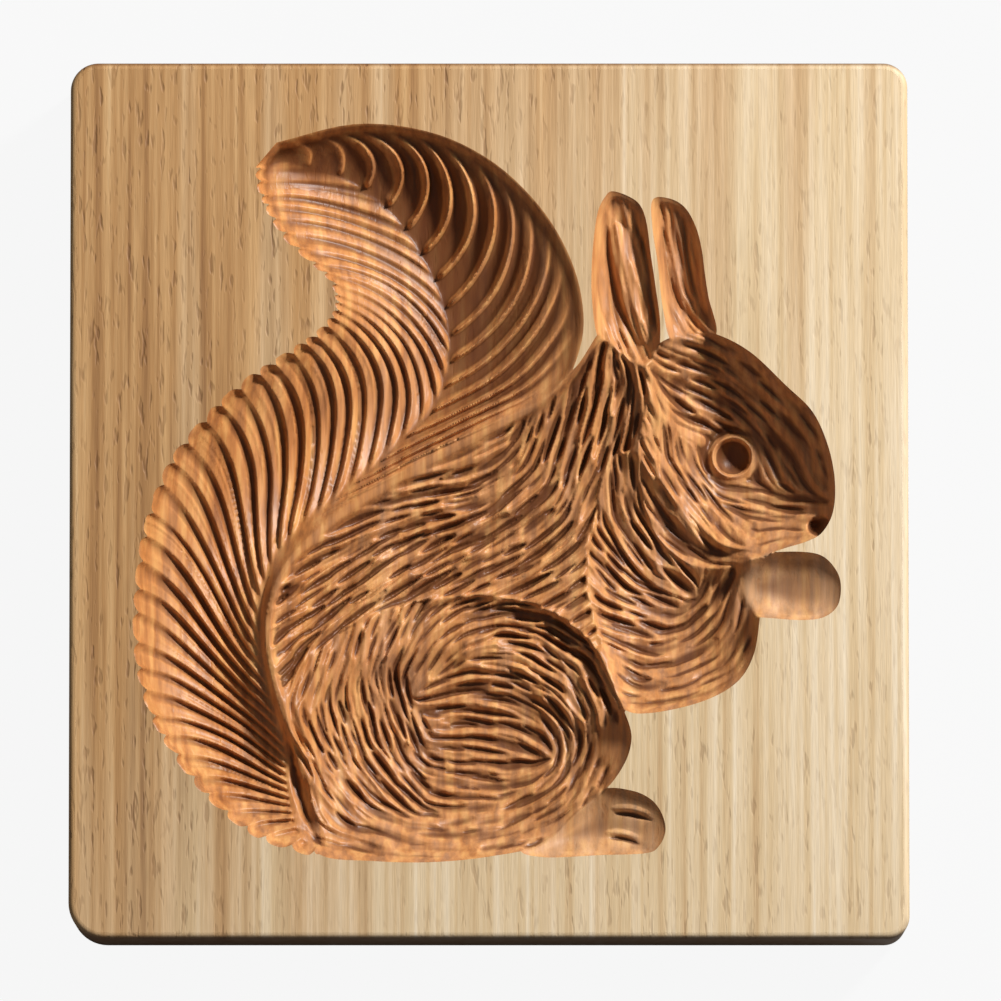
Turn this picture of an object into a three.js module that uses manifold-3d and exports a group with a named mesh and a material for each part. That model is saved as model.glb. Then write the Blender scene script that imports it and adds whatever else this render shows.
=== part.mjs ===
// A wooden cookie mould: one thick board with a seated squirrel carved into its face.
// Dough is pressed into the recess and comes out as a raised squirrel, so each limb of the
// squirrel is made here as a solid swelling and is then cut out of the board.
//
// Millimetres. The board lies on its back: +Z points out of the carved face, +Y towards the
// squirrel's ears, and the origin is the centre of the back. The points of the figure's drawing
// are measured from a point in the face, near its middle, and the drawing is scaled as a whole
// to the figure's height. In a drawing, [x, y, degrees] turns from +X to +Y.

import * as THREE from "three";
import { mergeVertices } from "three/addons/utils/BufferGeometryUtils.js";
import Module from "manifold-3d";

const wasm = await Module();
wasm.setup();

// The squirrel's height in the face, from its haunch to the tip of its tail
const FIGURE_HEIGHT = 114.8;

// The board, cut to leave these margins round the figure
const LEFT_MARGIN = 9.8;
const RIGHT_MARGIN = 10.5;
const TOP_MARGIN = 9.5;
const BOTTOM_MARGIN = 11.8;
const TOP_RIGHT_CORNER = 3.8;
const TOP_LEFT_CORNER = 4.3;
const BOTTOM_LEFT_CORNER = 5.6;
const BOTTOM_RIGHT_CORNER = 3.5;
const EDGE_ROUND = 1.6;
const CORNER_STEPS = 6;
const ROUND_STEPS = 4;
const CURVE_SAMPLES = 200;
const SAME_POINT = 1e-4;

// How deep each limb is cut, and how much wood is left under the deepest one
const HAUNCH_DEPTH = 10;
const HEAD_DEPTH = 9.4;
const SHOULDER_DEPTH = 8.8;
const TAIL_DEPTH = 7.8;
const TORSO_DEPTH = 6.8;
const PAW_DEPTH = 5.8;
const FOOT_DEPTH = 5.6;
const NEAR_EAR_DEPTH = 5.2;
const FAR_EAR_DEPTH = 4.6;
const WOOD_UNDER_CUT = 10;

// A limb's section, a superellipse: a round bowl with a steep rim
const RIM_POWER = 2;
const RIM_ROOT = 0.85;
const RINGS = [0.38, 0.66, 0.85, 0.97];
const CUTTER_RISE = 3;

// Where a limb lies over another one, it is cut one step deeper than that one right from its
// outline, and a crest of wood stands along the step. Both sink away at their two ends.
const LIMB_STEP = 1.5;
const CREST_RADIUS = 0.9;
const CREST_SECTION = [[-1, -7], [-0.8, 0.6], [0, 1], [0.8, 0.6], [1, -7]];
const CREST_STEPS = 18;
const OVERLAP_FADE = 4;

// The tail's locks, gouged side by side from the spine to the edges, closer together at the
// tail's root. They sweep towards the tip on their way out, less and less as they near it. The
// ridges between them notch the left edge, and sink into the wall short of the right one.
const LOCK_PITCH = 3;
const LOCK_GOUGE = 1.1;
const LOCK_SWEEP = 18;
const SWEEP_FADE = 5;
const LEFT_LOCK_BEND = 2;
const RIGHT_LOCK_BEND = 1.6;
const CUTS_PER_LOCK = 2;
const ROOT_CROWDING = 1.3;
const RIDGE_START = 0.33;
const LEFT_NOTCH = 0.035;
const RIGHT_RIDGE_END = 0.85;

// The tail is shallower at its two ends: over these shares of its length, down to these shares
// of its depth
const TAIL_ROOT_SHARE = 0.12;
const TAIL_ROOT_SWELL = 0.6;
const TAIL_TIP_SHARE = 0.16;
const TAIL_TIP_SWELL = 0.3;

// The fur: short strokes of a V gouge, set row by row, a little clear of each other and of a
// limb's borders. None is cut where the floor is as shallow as the margin, or too steep.
const FUR_COLUMN_STEP = 1.4;
const FUR_ROW_STEP = 2.2;
const FUR_LENGTH = 7.2;
const FUR_WIDTH = 2;
const FUR_DEPTH = 0.9;
const FUR_MARGIN = 1.4;
const FUR_ROOM = 0.7;
const STEEPEST_STROKE = 0.65;
const FUR_STROKE = {
  length: FUR_LENGTH,
  width: FUR_WIDTH,
  over: 1,
  under: FUR_DEPTH,
  lift: 0.12,
};

// The eye: a ball cutter's pit, in a ring cut that leaves a thin lid between the two
const EYE = [37.8, 7.5];
const EYE_RADIUS = 2.6;
const EYE_DEPTH = 1.5;
const LID_THICKNESS = 0.7;
const LID_CUT = 0.8;
const LID_CUT_RISE = 3;

// The nose, a smaller pit at the tip of the snout
const NOSE = [51.2, -3.6];
const NOSE_RADIUS = 1.6;

const BALL_STEPS = [14, 8];
const RING_STEPS = [6, 20];

// The ear's inner leaf and the ridges between the toes are wood left standing
const EAR_LEAF = { centre: [21.9, 34], degrees: 104, length: 18, width: 4.4, height: 1.8 };
const TOE_RIDGES = [[22.4, -48.6, 12], [22.2, -52, -4]];
const TOE_RIDGE = { length: 8, width: 1.2, over: 1.6, under: 4, lift: -0.3 };

const wood = new THREE.MeshStandardMaterial({ color: 0xd8b684, roughness: 0.55, metalness: 0 });

const points = (list) => list.map(([x, y]) => new THREE.Vector3(x, y, 0));
const closedCurve = (list) => new THREE.CatmullRomCurve3(points(list), true, "catmullrom");
const openCurve = (list) => new THREE.CatmullRomCurve3(points(list), false, "catmullrom");

// The limbs, from the back of the figure to the front. The heart is the deepest point, and the
// outline is what the limb cuts in the face. Between two shares of the outline's length the limb
// lies over others. A comb's strokes say how the fur lies near them.
const LIMBS = {
  torso: {
    depth: TORSO_DEPTH,
    spokes: 42,
    heart: [3, -4],
    outline: [
      [17.7, 26.9], [13.4, 20.7], [8.7, 17.3], [1.8, 14.2], [-7.5, 10.1], [-14.9, 6.4],
      [-23.4, 1.2], [-29.5, -4.1], [-33.5, -9.1], [-35.8, -14.9], [-36.8, -21.4], [-36, -28.1],
      [-34.3, -34.7], [-32.1, -41.2], [-29.6, -49.6], [-24.5, -54.6], [-13.7, -55.9],
      [-2.9, -55.5], [8, -52.1], [17.3, -39.7], [26, -21.1], [29, -5.6], [28, 10], [25.6, 21],
      [20.7, 26.5],
    ],
    comb: [
      [17, 24, 72], [11, 11, 82], [6, 0, 42], [-4, 10, 28], [-9, -10, 30], [-24, -4, 28],
      [-29, -17, 36], [-31, -32, 60], [-29, -46, -75], [-20, -40, -50],
    ],
  },
  shoulder: {
    depth: SHOULDER_DEPTH,
    spokes: 34,
    heart: [25.5, -14.9],
    outline: [
      [17.3, 16], [23.4, 11.4], [32.7, -8.2], [38.9, -10], [40.5, -14.2], [41.4, -19.6],
      [40.8, -24.2], [38.1, -28.4], [32.7, -31.3], [25, -33], [20.7, -32.3], [17.3, -27.3],
      [12.6, -19.6], [9.5, -13.4], [8.7, -4.1], [11.1, 5.2], [14.2, 12.9],
    ],
    comb: [
      [16, 2, -86], [13, -12, -62], [24, -6, -52], [27, -15, -22], [33, -18, 40], [39, -17, 76],
      [33, -28, 26], [25, -30, 4], [17, -22, -30],
    ],
  },
  haunch: {
    depth: HAUNCH_DEPTH,
    spokes: 42,
    heart: [-1, -36],
    over: [0.07, 0.34],
    outline: [
      [-24.5, -21.1], [-16.8, -16.8], [-7.5, -14.6], [1.8, -14.6], [9.5, -16.8], [15.7, -21.9],
      [19.1, -28.9], [21.6, -34.7], [21.9, -37.8], [20.7, -41.2], [18, -44.8], [13.4, -48.2],
      [8, -53.3], [0.2, -55.2], [-9.1, -56.1], [-18.3, -55.9], [-26, -55], [-30, -50.2],
      [-31.6, -42.5], [-31.6, -33], [-29.4, -26],
    ],
    comb: [
      [-24, -28, 75], [-19, -33, -68], [-25, -40, -48], [-12, -43, -28], [-14, -51, 8],
      [0, -52, 22], [10, -47, 45], [17, -38, 78], [15, -26, 125], [6, -20, 155], [-7, -22, 55],
      [-2, -34, -4], [0, -42, -8],
    ],
  },
  foot: {
    depth: FOOT_DEPTH,
    spokes: 22,
    heart: [18, -50.3],
    outline: [
      [11.1, -47.7], [17.3, -44.8], [21.9, -45], [25, -46.4], [26.7, -48.7], [27.2, -51.3],
      [26.2, -53.6], [24.2, -54.7], [17.3, -55], [8, -55.3], [4.9, -53.6],
    ],
  },
  paw: {
    depth: PAW_DEPTH,
    spokes: 20,
    heart: [46.7, -13.4],
    outline: [
      [38.4, -9.4], [42.2, -8.3], [48.2, -8], [51.6, -8.7], [53.8, -11.1], [54.4, -13.7],
      [53.8, -16.5], [51.6, -18.2], [48.2, -18.6], [43.6, -18.3], [40.8, -18],
    ],
  },
  far_ear: {
    depth: FAR_EAR_DEPTH,
    spokes: 22,
    heart: [30, 34],
    outline: [
      [25.3, 46.7], [27.8, 47], [30.3, 45.6], [32, 42.6], [32.9, 39.2], [33.4, 35.4],
      [34, 31.5], [35.2, 26.1], [32.7, 23.8], [28.4, 24.5], [26.9, 29.9], [26.1, 36.9],
      [25.3, 42.3],
    ],
  },
  head: {
    depth: HEAD_DEPTH,
    spokes: 36,
    heart: [38, 6],
    over: [0.46, 0.74],
    outline: [
      [35.2, 25.8], [40.5, 23], [45.9, 17.9], [50.1, 13.7], [52.5, 8.3], [53.5, 2.9],
      [53.2, -1.8], [51.6, -4.9], [49.4, -6.3], [45.9, -7.4], [41.2, -8.9], [35.8, -10],
      [31.2, -9.1], [27.3, -6.4], [24.7, -1.8], [23.4, 4.4], [23.4, 9.8], [24.7, 16],
      [24.2, 21.4], [26.5, 24.5], [31.2, 26.1],
    ],
    comb: [
      [31, 21, -14], [39, 21, -35], [47, 11, -52], [42, 8, -72], [31, 11, -18], [28, 9, -80],
      [26, 4, -62], [33, -1, -55], [40, 1, -10], [38, -6, -50], [34, -8, -20], [46, -2, 2],
    ],
  },
  near_ear: {
    depth: NEAR_EAR_DEPTH,
    spokes: 26,
    heart: [21.3, 32],
    outline: [
      [16.8, 25.3], [15.9, 31.5], [15.9, 36.9], [16.3, 41.6], [16.9, 45.1], [18, 47.3],
      [19.1, 48.1], [21.6, 47.3], [23.4, 45.9], [24.4, 43.1], [25, 38.5], [25.8, 33],
      [26.5, 26.9], [25.8, 21.4], [22.7, 19.9], [19.1, 22.2],
    ],
  },
};

// The tail: its spine from root to tip, and on each side the edge that faces each spine point.
// Where the right edge lies behind the back, the torso's deeper cut takes it away.
const TAIL_SPINE = [
  [-29.2, -46.2], [-29.9, -43.1], [-31, -39.2], [-33.2, -33.2], [-34.7, -27.6], [-35.7, -21.4],
  [-35.4, -14.9], [-33.4, -9.1], [-29.6, -4.4], [-24.1, 0.5], [-18.6, 5], [-13.4, 10.1],
  [-8.7, 15.2], [-6.4, 20.7], [-6, 26.1], [-7, 31.8], [-9.4, 37.4], [-12.5, 42.6], [-16.5, 47.1],
  [-21.4, 50.5], [-27.5, 52.4], [-35, 53.8],
];
const TAIL_LEFT_EDGE = [
  [-26.7, -55.5], [-35.7, -52.5], [-42.8, -47.1], [-48.7, -40], [-52.9, -32.4], [-55, -23.4],
  [-54.9, -13.4], [-53.5, -4.1], [-50.1, 5.2], [-44.6, 12.6], [-38, 18.8], [-31.6, 23],
  [-26.9, 26.2], [-24.4, 29], [-23.9, 31.3], [-24.8, 34], [-27.5, 36.6], [-31.3, 40], [-34.1, 44],
  [-35.5, 47.2], [-36.2, 49.6], [-36.2, 51.9],
];
const TAIL_RIGHT_EDGE = [
  [-25.1, -53.3], [-25.8, -48.2], [-27.9, -41.2], [-30.9, -33.8], [-32.7, -27.6], [-33.7, -21.4],
  [-33.2, -15.9], [-31, -10.8], [-27.3, -6.7], [-21.4, -2.6], [-15.2, 1], [-7.5, 5.5],
  [1.8, 10.8], [10.4, 16.2], [14.2, 24.2], [14.3, 31.5], [12, 38.9], [7.4, 46.2], [0.2, 52.9],
  [-9.1, 57.3], [-20.7, 58.6], [-33, 55.7],
];

// The drawing's reach, from the curves that bound it, and its scale in the face
function drawnReach() {
  const closed = Object.values(LIMBS).map(({ outline }) => closedCurve(outline));
  const open = [TAIL_LEFT_EDGE, TAIL_RIGHT_EDGE].map(openCurve);
  const box = new THREE.Box2();
  for (const curve of [...closed, ...open]) {
    curve.getPoints(CURVE_SAMPLES).forEach((p) => box.expandByPoint(p));
  }
  return box;
}

const drawn = drawnReach();
const scale = FIGURE_HEIGHT / (drawn.max.y - drawn.min.y);
const reach = {
  min: drawn.min.clone().multiplyScalar(scale),
  max: drawn.max.clone().multiplyScalar(scale),
};
const scaled = (list) => list.map(([x, y, ...turn]) => [x * scale, y * scale, ...turn]);

const limbShapes = Object.entries(LIMBS).map(([name, limb]) => ({
  ...limb,
  name,
  heart: scaled([limb.heart])[0],
  outline: scaled(limb.outline),
  comb: scaled(limb.comb ?? []),
}));
const [eye, nose, leafCentre] = scaled([EYE, NOSE, EAR_LEAF.centre]);

const deepestCut = Math.max(...Object.values(LIMBS).map((limb) => limb.depth), TAIL_DEPTH);
const thickness = WOOD_UNDER_CUT + deepestCut;

// three.js geometry as a solid that can be joined and cut
function toSolid(geometry) {
  const bare = new THREE.BufferGeometry();
  bare.setAttribute("position", geometry.getAttribute("position"));
  bare.setIndex(geometry.index);
  const merged = mergeVertices(bare, SAME_POINT);
  return new wasm.Manifold(new wasm.Mesh({
    numProp: 3,
    vertProperties: merged.attributes.position.array,
    triVerts: new Uint32Array(merged.index.array),
  }));
}

function toGeometry(solid) {
  const { vertProperties, triVerts } = solid.getMesh();
  const geometry = new THREE.BufferGeometry();
  geometry.setAttribute("position", new THREE.BufferAttribute(vertProperties, 3));
  geometry.setIndex(new THREE.BufferAttribute(triVerts, 1));
  const shaded = geometry.toNonIndexed();
  shaded.computeVertexNormals();
  return shaded;
}

function facets(vertices, faces) {
  const geometry = new THREE.BufferGeometry();
  geometry.setAttribute("position", new THREE.Float32BufferAttribute(vertices.flat(), 3));
  geometry.setIndex(faces.flat());
  return geometry;
}

// The board before it is carved: a rounded rectangle with all its edges rounded over
function boardBlank() {
  const left = reach.min.x - LEFT_MARGIN + EDGE_ROUND;
  const right = reach.max.x + RIGHT_MARGIN - EDGE_ROUND;
  const bottom = reach.min.y - BOTTOM_MARGIN + EDGE_ROUND;
  const top = reach.max.y + TOP_MARGIN - EDGE_ROUND;
  const corners = [
    [right, top, -1, -1, TOP_RIGHT_CORNER],
    [left, top, 1, -1, TOP_LEFT_CORNER],
    [left, bottom, 1, 1, BOTTOM_LEFT_CORNER],
    [right, bottom, -1, 1, BOTTOM_RIGHT_CORNER],
  ];
  const face = new THREE.Shape();
  corners.forEach(([x, y, inwardX, inwardY, rounding], k) => {
    const radius = rounding - EDGE_ROUND;
    const start = k * Math.PI / 2;
    face.absarc(x + inwardX * radius, y + inwardY * radius, radius, start, start + Math.PI / 2);
  });
  const blank = new THREE.ExtrudeGeometry(face, {
    depth: thickness - 2 * EDGE_ROUND,
    curveSegments: CORNER_STEPS,
    bevelSegments: ROUND_STEPS,
    bevelSize: EDGE_ROUND,
    bevelThickness: EDGE_ROUND,
  });
  return blank.translate(0, 0, EDGE_ROUND - thickness);
}

// Share of a limb's depth at q, the distance from its heart (0) to its rim (1)
function crown(q) {
  return (1 - Math.min(q, 1) ** RIM_POWER) ** RIM_ROOT;
}

// The last ring below the face, and its mirror image above it
const LAST_RING = RINGS.at(-1);
const RIM_RING = 2 - LAST_RING;

// The limbs as meshes in the figure's own place, so that a plumb line can find the floor
const limbs = [];
const plumbLine = new THREE.Raycaster();

function addLimb(name, geometry) {
  const mesh = new THREE.Mesh(geometry, wood);
  mesh.name = name;
  limbs.push(mesh);
}

// Height of the floor that the limbs so far have at a point, and the limb that it belongs to
function floorAt(x, y) {
  plumbLine.set(new THREE.Vector3(x, y, -thickness), new THREE.Vector3(0, 0, 1));
  const deepest = plumbLine.intersectObjects(limbs)[0];
  return deepest ? { z: deepest.point.z, limb: deepest.object.name } : { z: 0, limb: "face" };
}

// How fully a limb lies over others at a share of its outline's length: 1, and 0 at the ends
function overlap(over, share) {
  if (!over) return 0;
  const [start, end] = over;
  const fromMiddle = (2 * share - start - end) / (end - start);
  return Math.max(0, 1 - fromMiddle ** OVERLAP_FADE);
}

// A limb as a closed solid: rings run from the heart, below the face, to a rim just above it,
// and stay under the floor of the limbs that it lies over
function swelling({ heart, outline, depth, spokes, over }) {
  const rim = closedCurve(outline).getSpacedPoints(spokes).slice(0, spokes);
  const least = rim.map(({ x, y }, k) => overlap(over, k / spokes) * (LIMB_STEP - floorAt(x, y).z));
  const ring = (q, height) => rim.map(({ x, y }, k) => {
    return [heart[0] + q * (x - heart[0]), heart[1] + q * (y - heart[1]), height(k)];
  });
  const vertices = [
    [...heart, -depth],
    ...RINGS.flatMap((q) => ring(q, (k) => -Math.max(depth * crown(q), least[k]))),
    ...ring(RIM_RING, () => depth * crown(LAST_RING)),
    ...ring(RIM_RING, () => CUTTER_RISE),
  ];
  const levels = RINGS.length + 2;
  const lid = vertices.length;
  vertices.push([...heart, CUTTER_RISE]);

  const at = (level, spoke) => 1 + level * spokes + (spoke % spokes);
  const clockwise = THREE.ShapeUtils.isClockWise(rim);
  const faces = [];
  const add = (a, b, c) => faces.push(clockwise ? [a, b, c] : [a, c, b]);
  for (let k = 0; k < spokes; k++) {
    add(0, at(0, k), at(0, k + 1));
    for (let level = 0; level + 1 < levels; level++) {
      add(at(level, k), at(level + 1, k), at(level + 1, k + 1));
      add(at(level, k), at(level + 1, k + 1), at(level, k + 1));
    }
    add(lid, at(levels - 1, k + 1), at(levels - 1, k));
  }
  return facets(vertices, faces);
}

// The tail as a closed solid. Each row runs along a gouge cut, from the spine out to both
// edges, and sweeps towards the tip on the way. A ridge stands between each two locks. The
// tail is deepest midway between its edges, wherever the spine runs.
function plume() {
  const spine = openCurve(scaled(TAIL_SPINE));
  const edges = {
    left: openCurve(scaled(TAIL_LEFT_EDGE)),
    right: openCurve(scaled(TAIL_RIGHT_EDGE)),
  };
  const length = spine.getLength();
  const sweep = LOCK_SWEEP / length;
  const rows = Math.round(length / LOCK_PITCH) * CUTS_PER_LOCK + 1;

  const isRidge = (row) => row % CUTS_PER_LOCK === 0;
  const rootOf = (row) => (row / rows) ** ROOT_CROWDING;
  const alongOf = (row, t, side) => {
    const root = rootOf(row);
    const bend = 1 - Math.abs(1 - t) ** (side === "left" ? LEFT_LOCK_BEND : RIGHT_LOCK_BEND);
    const fade = THREE.MathUtils.smoothstep(root, 0, TAIL_ROOT_SHARE) * (1 - root ** SWEEP_FADE);
    return root + sweep * bend * fade;
  };
  const place = (row, t, side) => {
    const along = alongOf(row, t, side);
    const notch = side === "left" && isRidge(row) ? LEFT_NOTCH : 0;
    return spine.getPoint(along).lerp(edges[side].getPoint(along), t * (1 - notch));
  };
  const fromMiddle = (row, t, side) => {
    const along = alongOf(row, t, side);
    const widthOf = (edge) => spine.getPoint(along).distanceTo(edges[edge].getPoint(along));
    const other = side === "left" ? "right" : "left";
    const [width, rest] = [widthOf(side), widthOf(other)];
    return Math.abs(2 * t * width + rest - width) / (width + rest);
  };
  const height = (row, t, side) => {
    const root = THREE.MathUtils.smoothstep(rootOf(row), 0, TAIL_ROOT_SHARE);
    const tip = THREE.MathUtils.clamp((rootOf(row) - 1) / TAIL_TIP_SHARE + 1, 0, 1);
    const swell = TAIL_DEPTH * THREE.MathUtils.lerp(TAIL_ROOT_SWELL, 1, root)
      * THREE.MathUtils.lerp(TAIL_TIP_SWELL, 1, crown(tip));
    if (t > 1) return swell * crown(fromMiddle(row, LAST_RING, side));
    const stands = isRidge(row) && (side === "left" || t < RIGHT_RIDGE_END);
    const ridge = stands ? LOCK_GOUGE * Math.min(1, t / RIDGE_START) : 0;
    return -swell * crown(fromMiddle(row, t, side)) + ridge;
  };

  const outward = [...RINGS, RIM_RING];
  const columns = [
    ...outward.toReversed().map((t) => [t, "left"]),
    [0, "left"],
    ...outward.map((t) => [t, "right"]),
  ];
  const last = columns.length - 1;
  const middle = last / 2;
  const lidColumns = [columns[0], columns[middle], columns[last]];

  const vertices = [];
  for (let row = 0; row <= rows; row++) {
    for (const [t, side] of columns) {
      const p = place(row, t, side);
      vertices.push([p.x, p.y, height(row, t, side)]);
    }
  }
  const lidStart = vertices.length;
  for (let row = 0; row <= rows; row++) {
    for (const [t, side] of lidColumns) {
      const p = place(row, t, side);
      vertices.push([p.x, p.y, CUTTER_RISE]);
    }
  }
  const floor = (row, column) => row * columns.length + column;
  const lid = (row, column) => lidStart + row * lidColumns.length + column;

  const faces = [];
  const quad = (a, b, c, d) => faces.push([a, b, c], [a, c, d]);
  for (let row = 0; row < rows; row++) {
    const next = row + 1;
    for (let c = 0; c < last; c++) {
      quad(floor(row, c), floor(next, c), floor(next, c + 1), floor(row, c + 1));
    }
    for (const c of [0, 1]) {
      quad(lid(row, c), lid(row, c + 1), lid(next, c + 1), lid(next, c));
    }
    quad(lid(row, 0), lid(next, 0), floor(next, 0), floor(row, 0));
    quad(floor(row, last), floor(next, last), lid(next, 2), lid(row, 2));
  }
  // A fan closes each end
  for (let c = 0; c < last; c++) {
    faces.push([lid(0, 1), floor(0, c), floor(0, c + 1)]);
    faces.push([lid(rows, 1), floor(rows, c + 1), floor(rows, c)]);
  }
  faces.push([lid(0, 1), lid(0, 0), floor(0, 0)], [lid(0, 1), floor(0, last), lid(0, 2)]);
  faces.push([lid(rows, 1), floor(rows, 0), lid(rows, 0)]);
  faces.push([lid(rows, 1), lid(rows, 2), floor(rows, last)]);
  return facets(vertices, faces);
}

for (const limb of limbShapes) addLimb(limb.name, swelling(limb));
addLimb("tail", plume());

// How the fur lies at a point, from the comb strokes round it. Angles are doubled in the sum,
// so that a stroke and its reverse count as one.
function furAngle(comb, x, y) {
  const sum = new THREE.Vector2();
  for (const [combX, combY, degrees] of comb) {
    const nearness = 1 / (1 + (x - combX) ** 2 + (y - combY) ** 2) ** 2;
    const doubled = THREE.MathUtils.degToRad(2 * degrees);
    sum.add(new THREE.Vector2(Math.cos(doubled), Math.sin(doubled)).multiplyScalar(nearness));
  }
  return Math.atan2(sum.y, sum.x) / 2;
}

// The point that lies some way forward and aside of another, in a direction
function stepFrom([x, y], angle, forward, aside) {
  const step = new THREE.Vector2(forward, aside).rotateAround(new THREE.Vector2(), angle);
  return [x + step.x, y + step.y];
}

// A closed spindle along the floor: pointed at both ends, with a four-cornered middle that
// reaches over and under the floor. Its ends and sides are off the floor by the lift.
function spindle(centre, angle, { length, width, over, under, lift }) {
  const corner = (forward, aside, rise) => {
    const [x, y] = stepFrom(centre, angle, forward, aside);
    return [x, y, floorAt(x, y).z + rise];
  };
  const middle = [
    corner(0, width / 2, lift),
    corner(0, 0, over),
    corner(0, -width / 2, lift),
    corner(0, 0, -under),
  ];
  const [head, end] = [middle.length, middle.length + 1];
  const faces = middle.flatMap((_, k) => {
    const next = (k + 1) % middle.length;
    return [[head, k, next], [end, next, k]];
  });
  return facets([...middle, corner(length / 2, 0, lift), corner(-length / 2, 0, lift)], faces);
}

// Whether a point is in a stroke's outline, grown by the room that a stroke needs
function isOver(stroke, [x, y]) {
  const step = new THREE.Vector2(x - stroke.centre[0], y - stroke.centre[1]);
  step.rotateAround(new THREE.Vector2(), -stroke.angle);
  const [far, wide] = [FUR_LENGTH / 2 + FUR_ROOM, FUR_WIDTH / 2 + FUR_ROOM];
  return Math.abs(step.x) / far + Math.abs(step.y) / wide < 1;
}

// Points round a stroke, with some room between
function around({ centre, angle }, room) {
  const [far, wide] = [FUR_LENGTH / 2 + room, FUR_WIDTH / 2 + room];
  return [[far, 0], [0, wide], [-far, 0], [0, -wide]].map((step) => stepFrom(centre, angle, ...step));
}

const isClear = (stroke, other) => {
  return !isOver(stroke, other.centre) && !around(other, 0).some((point) => isOver(stroke, point));
};

// The fur strokes, set row by row wherever there is room for one on a limb that has a comb
function furStrokes() {
  const eyeRoom = EYE_RADIUS + LID_THICKNESS + 2 * LID_CUT + FUR_WIDTH;
  const combs = Object.fromEntries(limbShapes.map(({ name, comb }) => [name, comb]));
  const strokes = [];
  for (let y = reach.min.y; y < reach.max.y; y += FUR_ROW_STEP) {
    for (let x = reach.min.x; x < reach.max.x; x += FUR_COLUMN_STEP) {
      const { z, limb } = floorAt(x, y);
      const comb = combs[limb];
      if (!comb?.length) continue;

      const stroke = { centre: [x, y], angle: furAngle(comb, x, y) };
      const isOffEye = Math.hypot(x - eye[0], y - eye[1]) > eyeRoom;
      const isFree = strokes.every((other) => isClear(stroke, other) && isClear(other, stroke));
      if (!isOffEye || !isFree) continue;

      const floors = around(stroke, FUR_ROOM).map((point) => floorAt(...point));
      const heights = floors.map((floor) => floor.z);
      const isOnLimb = floors.every((floor) => floor.limb === limb);
      const isInside = Math.max(z, ...heights) < -FUR_MARGIN;
      const isGentle = Math.max(...heights) - Math.min(...heights) < STEEPEST_STROKE * FUR_LENGTH;
      if (isOnLimb && isInside && isGentle) strokes.push(stroke);
    }
  }
  return strokes.map(({ centre, angle }) => toSolid(spindle(centre, angle, FUR_STROKE)));
}

// The eye and the nose: a ball cutter's pits, and a ring cut round the eye
function faceCuts() {
  const { z } = floorAt(...eye);
  const ringRadius = EYE_RADIUS + LID_THICKNESS + LID_CUT;
  const pit = new THREE.SphereGeometry(EYE_RADIUS, ...BALL_STEPS);
  pit.translate(...eye, z - EYE_DEPTH + EYE_RADIUS);
  const ring = new THREE.TorusGeometry(ringRadius, LID_CUT, ...RING_STEPS);
  ring.scale(1, 1, LID_CUT_RISE);
  ring.translate(...eye, z + LID_CUT * (LID_CUT_RISE - 1));
  const nostril = new THREE.SphereGeometry(NOSE_RADIUS, ...BALL_STEPS);
  nostril.translate(...nose, floorAt(...nose).z);
  return [pit, ring, nostril].map(toSolid);
}

// The crest along a limb's outline: a rib with a round top that stands on the floor of the
// limbs behind, just outside the step, and sinks into it at both ends
function crestRib({ outline, heart, over }) {
  const rim = closedCurve(outline);
  const rows = Array.from({ length: CREST_STEPS + 1 }, (_, k) => {
    const share = THREE.MathUtils.lerp(...over, k / CREST_STEPS);
    const { x, y } = new THREE.Vector3(...heart, 0).lerp(rim.getPointAt(share), RIM_RING);
    const along = rim.getTangentAt(share);
    const z = floorAt(x, y).z - CREST_RADIUS * (1 - overlap(over, share));
    return CREST_SECTION.map(([aside, rise]) => [
      ...stepFrom([x, y], Math.atan2(along.y, along.x), 0, aside * CREST_RADIUS),
      z + rise * CREST_RADIUS,
    ]);
  });
  const corners = CREST_SECTION.length;
  const faces = [];
  for (let row = 0; row < CREST_STEPS; row++) {
    for (let k = 0; k < corners; k++) {
      const [a, b] = [row * corners + k, row * corners + (k + 1) % corners];
      faces.push([a, a + corners, b + corners], [a, b + corners, b]);
    }
  }
  // A fan closes each end
  const end = CREST_STEPS * corners;
  for (let k = 1; k + 1 < corners; k++) {
    faces.push([0, k, k + 1], [end, end + k + 1, end + k]);
  }
  return facets(rows.flat(), faces);
}

// Wood left standing in the recess: the crests between limbs, the inner leaf of the ear, and
// the ridges between the toes
function standingWood() {
  const { degrees, length, width, height } = EAR_LEAF;
  const leaf = new THREE.SphereGeometry(1, ...BALL_STEPS);
  leaf.scale(length / 2, width / 2, height);
  leaf.rotateZ(THREE.MathUtils.degToRad(degrees));
  leaf.translate(...leafCentre, floorAt(...leafCentre).z);
  const ridges = scaled(TOE_RIDGES).map(([x, y, turn]) => {
    return spindle([x, y], THREE.MathUtils.degToRad(turn), TOE_RIDGE);
  });
  const crests = limbShapes.filter(({ over }) => over).map(crestRib);
  return [leaf, ...ridges, ...crests].map(toSolid);
}

const join = (solids) => solids.reduce((all, solid) => all.add(solid));

const bowls = limbs.map((limb) => toSolid(limb.geometry));
const squirrel = join([...bowls, ...furStrokes(), ...faceCuts()]).subtract(join(standingWood()));
const carved = toSolid(boardBlank()).subtract(squirrel);

// The board's middle goes over the origin, and its back to the height of the origin
const mouldBoard = new THREE.Mesh(toGeometry(carved), wood);
mouldBoard.name = "mould_board";
mouldBoard.position.set(
  (LEFT_MARGIN - RIGHT_MARGIN - reach.min.x - reach.max.x) / 2,
  (BOTTOM_MARGIN - TOP_MARGIN - reach.min.y - reach.max.y) / 2,
  thickness,
);

const mould = new THREE.Group();
mould.add(mouldBoard);
export default mould;
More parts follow.
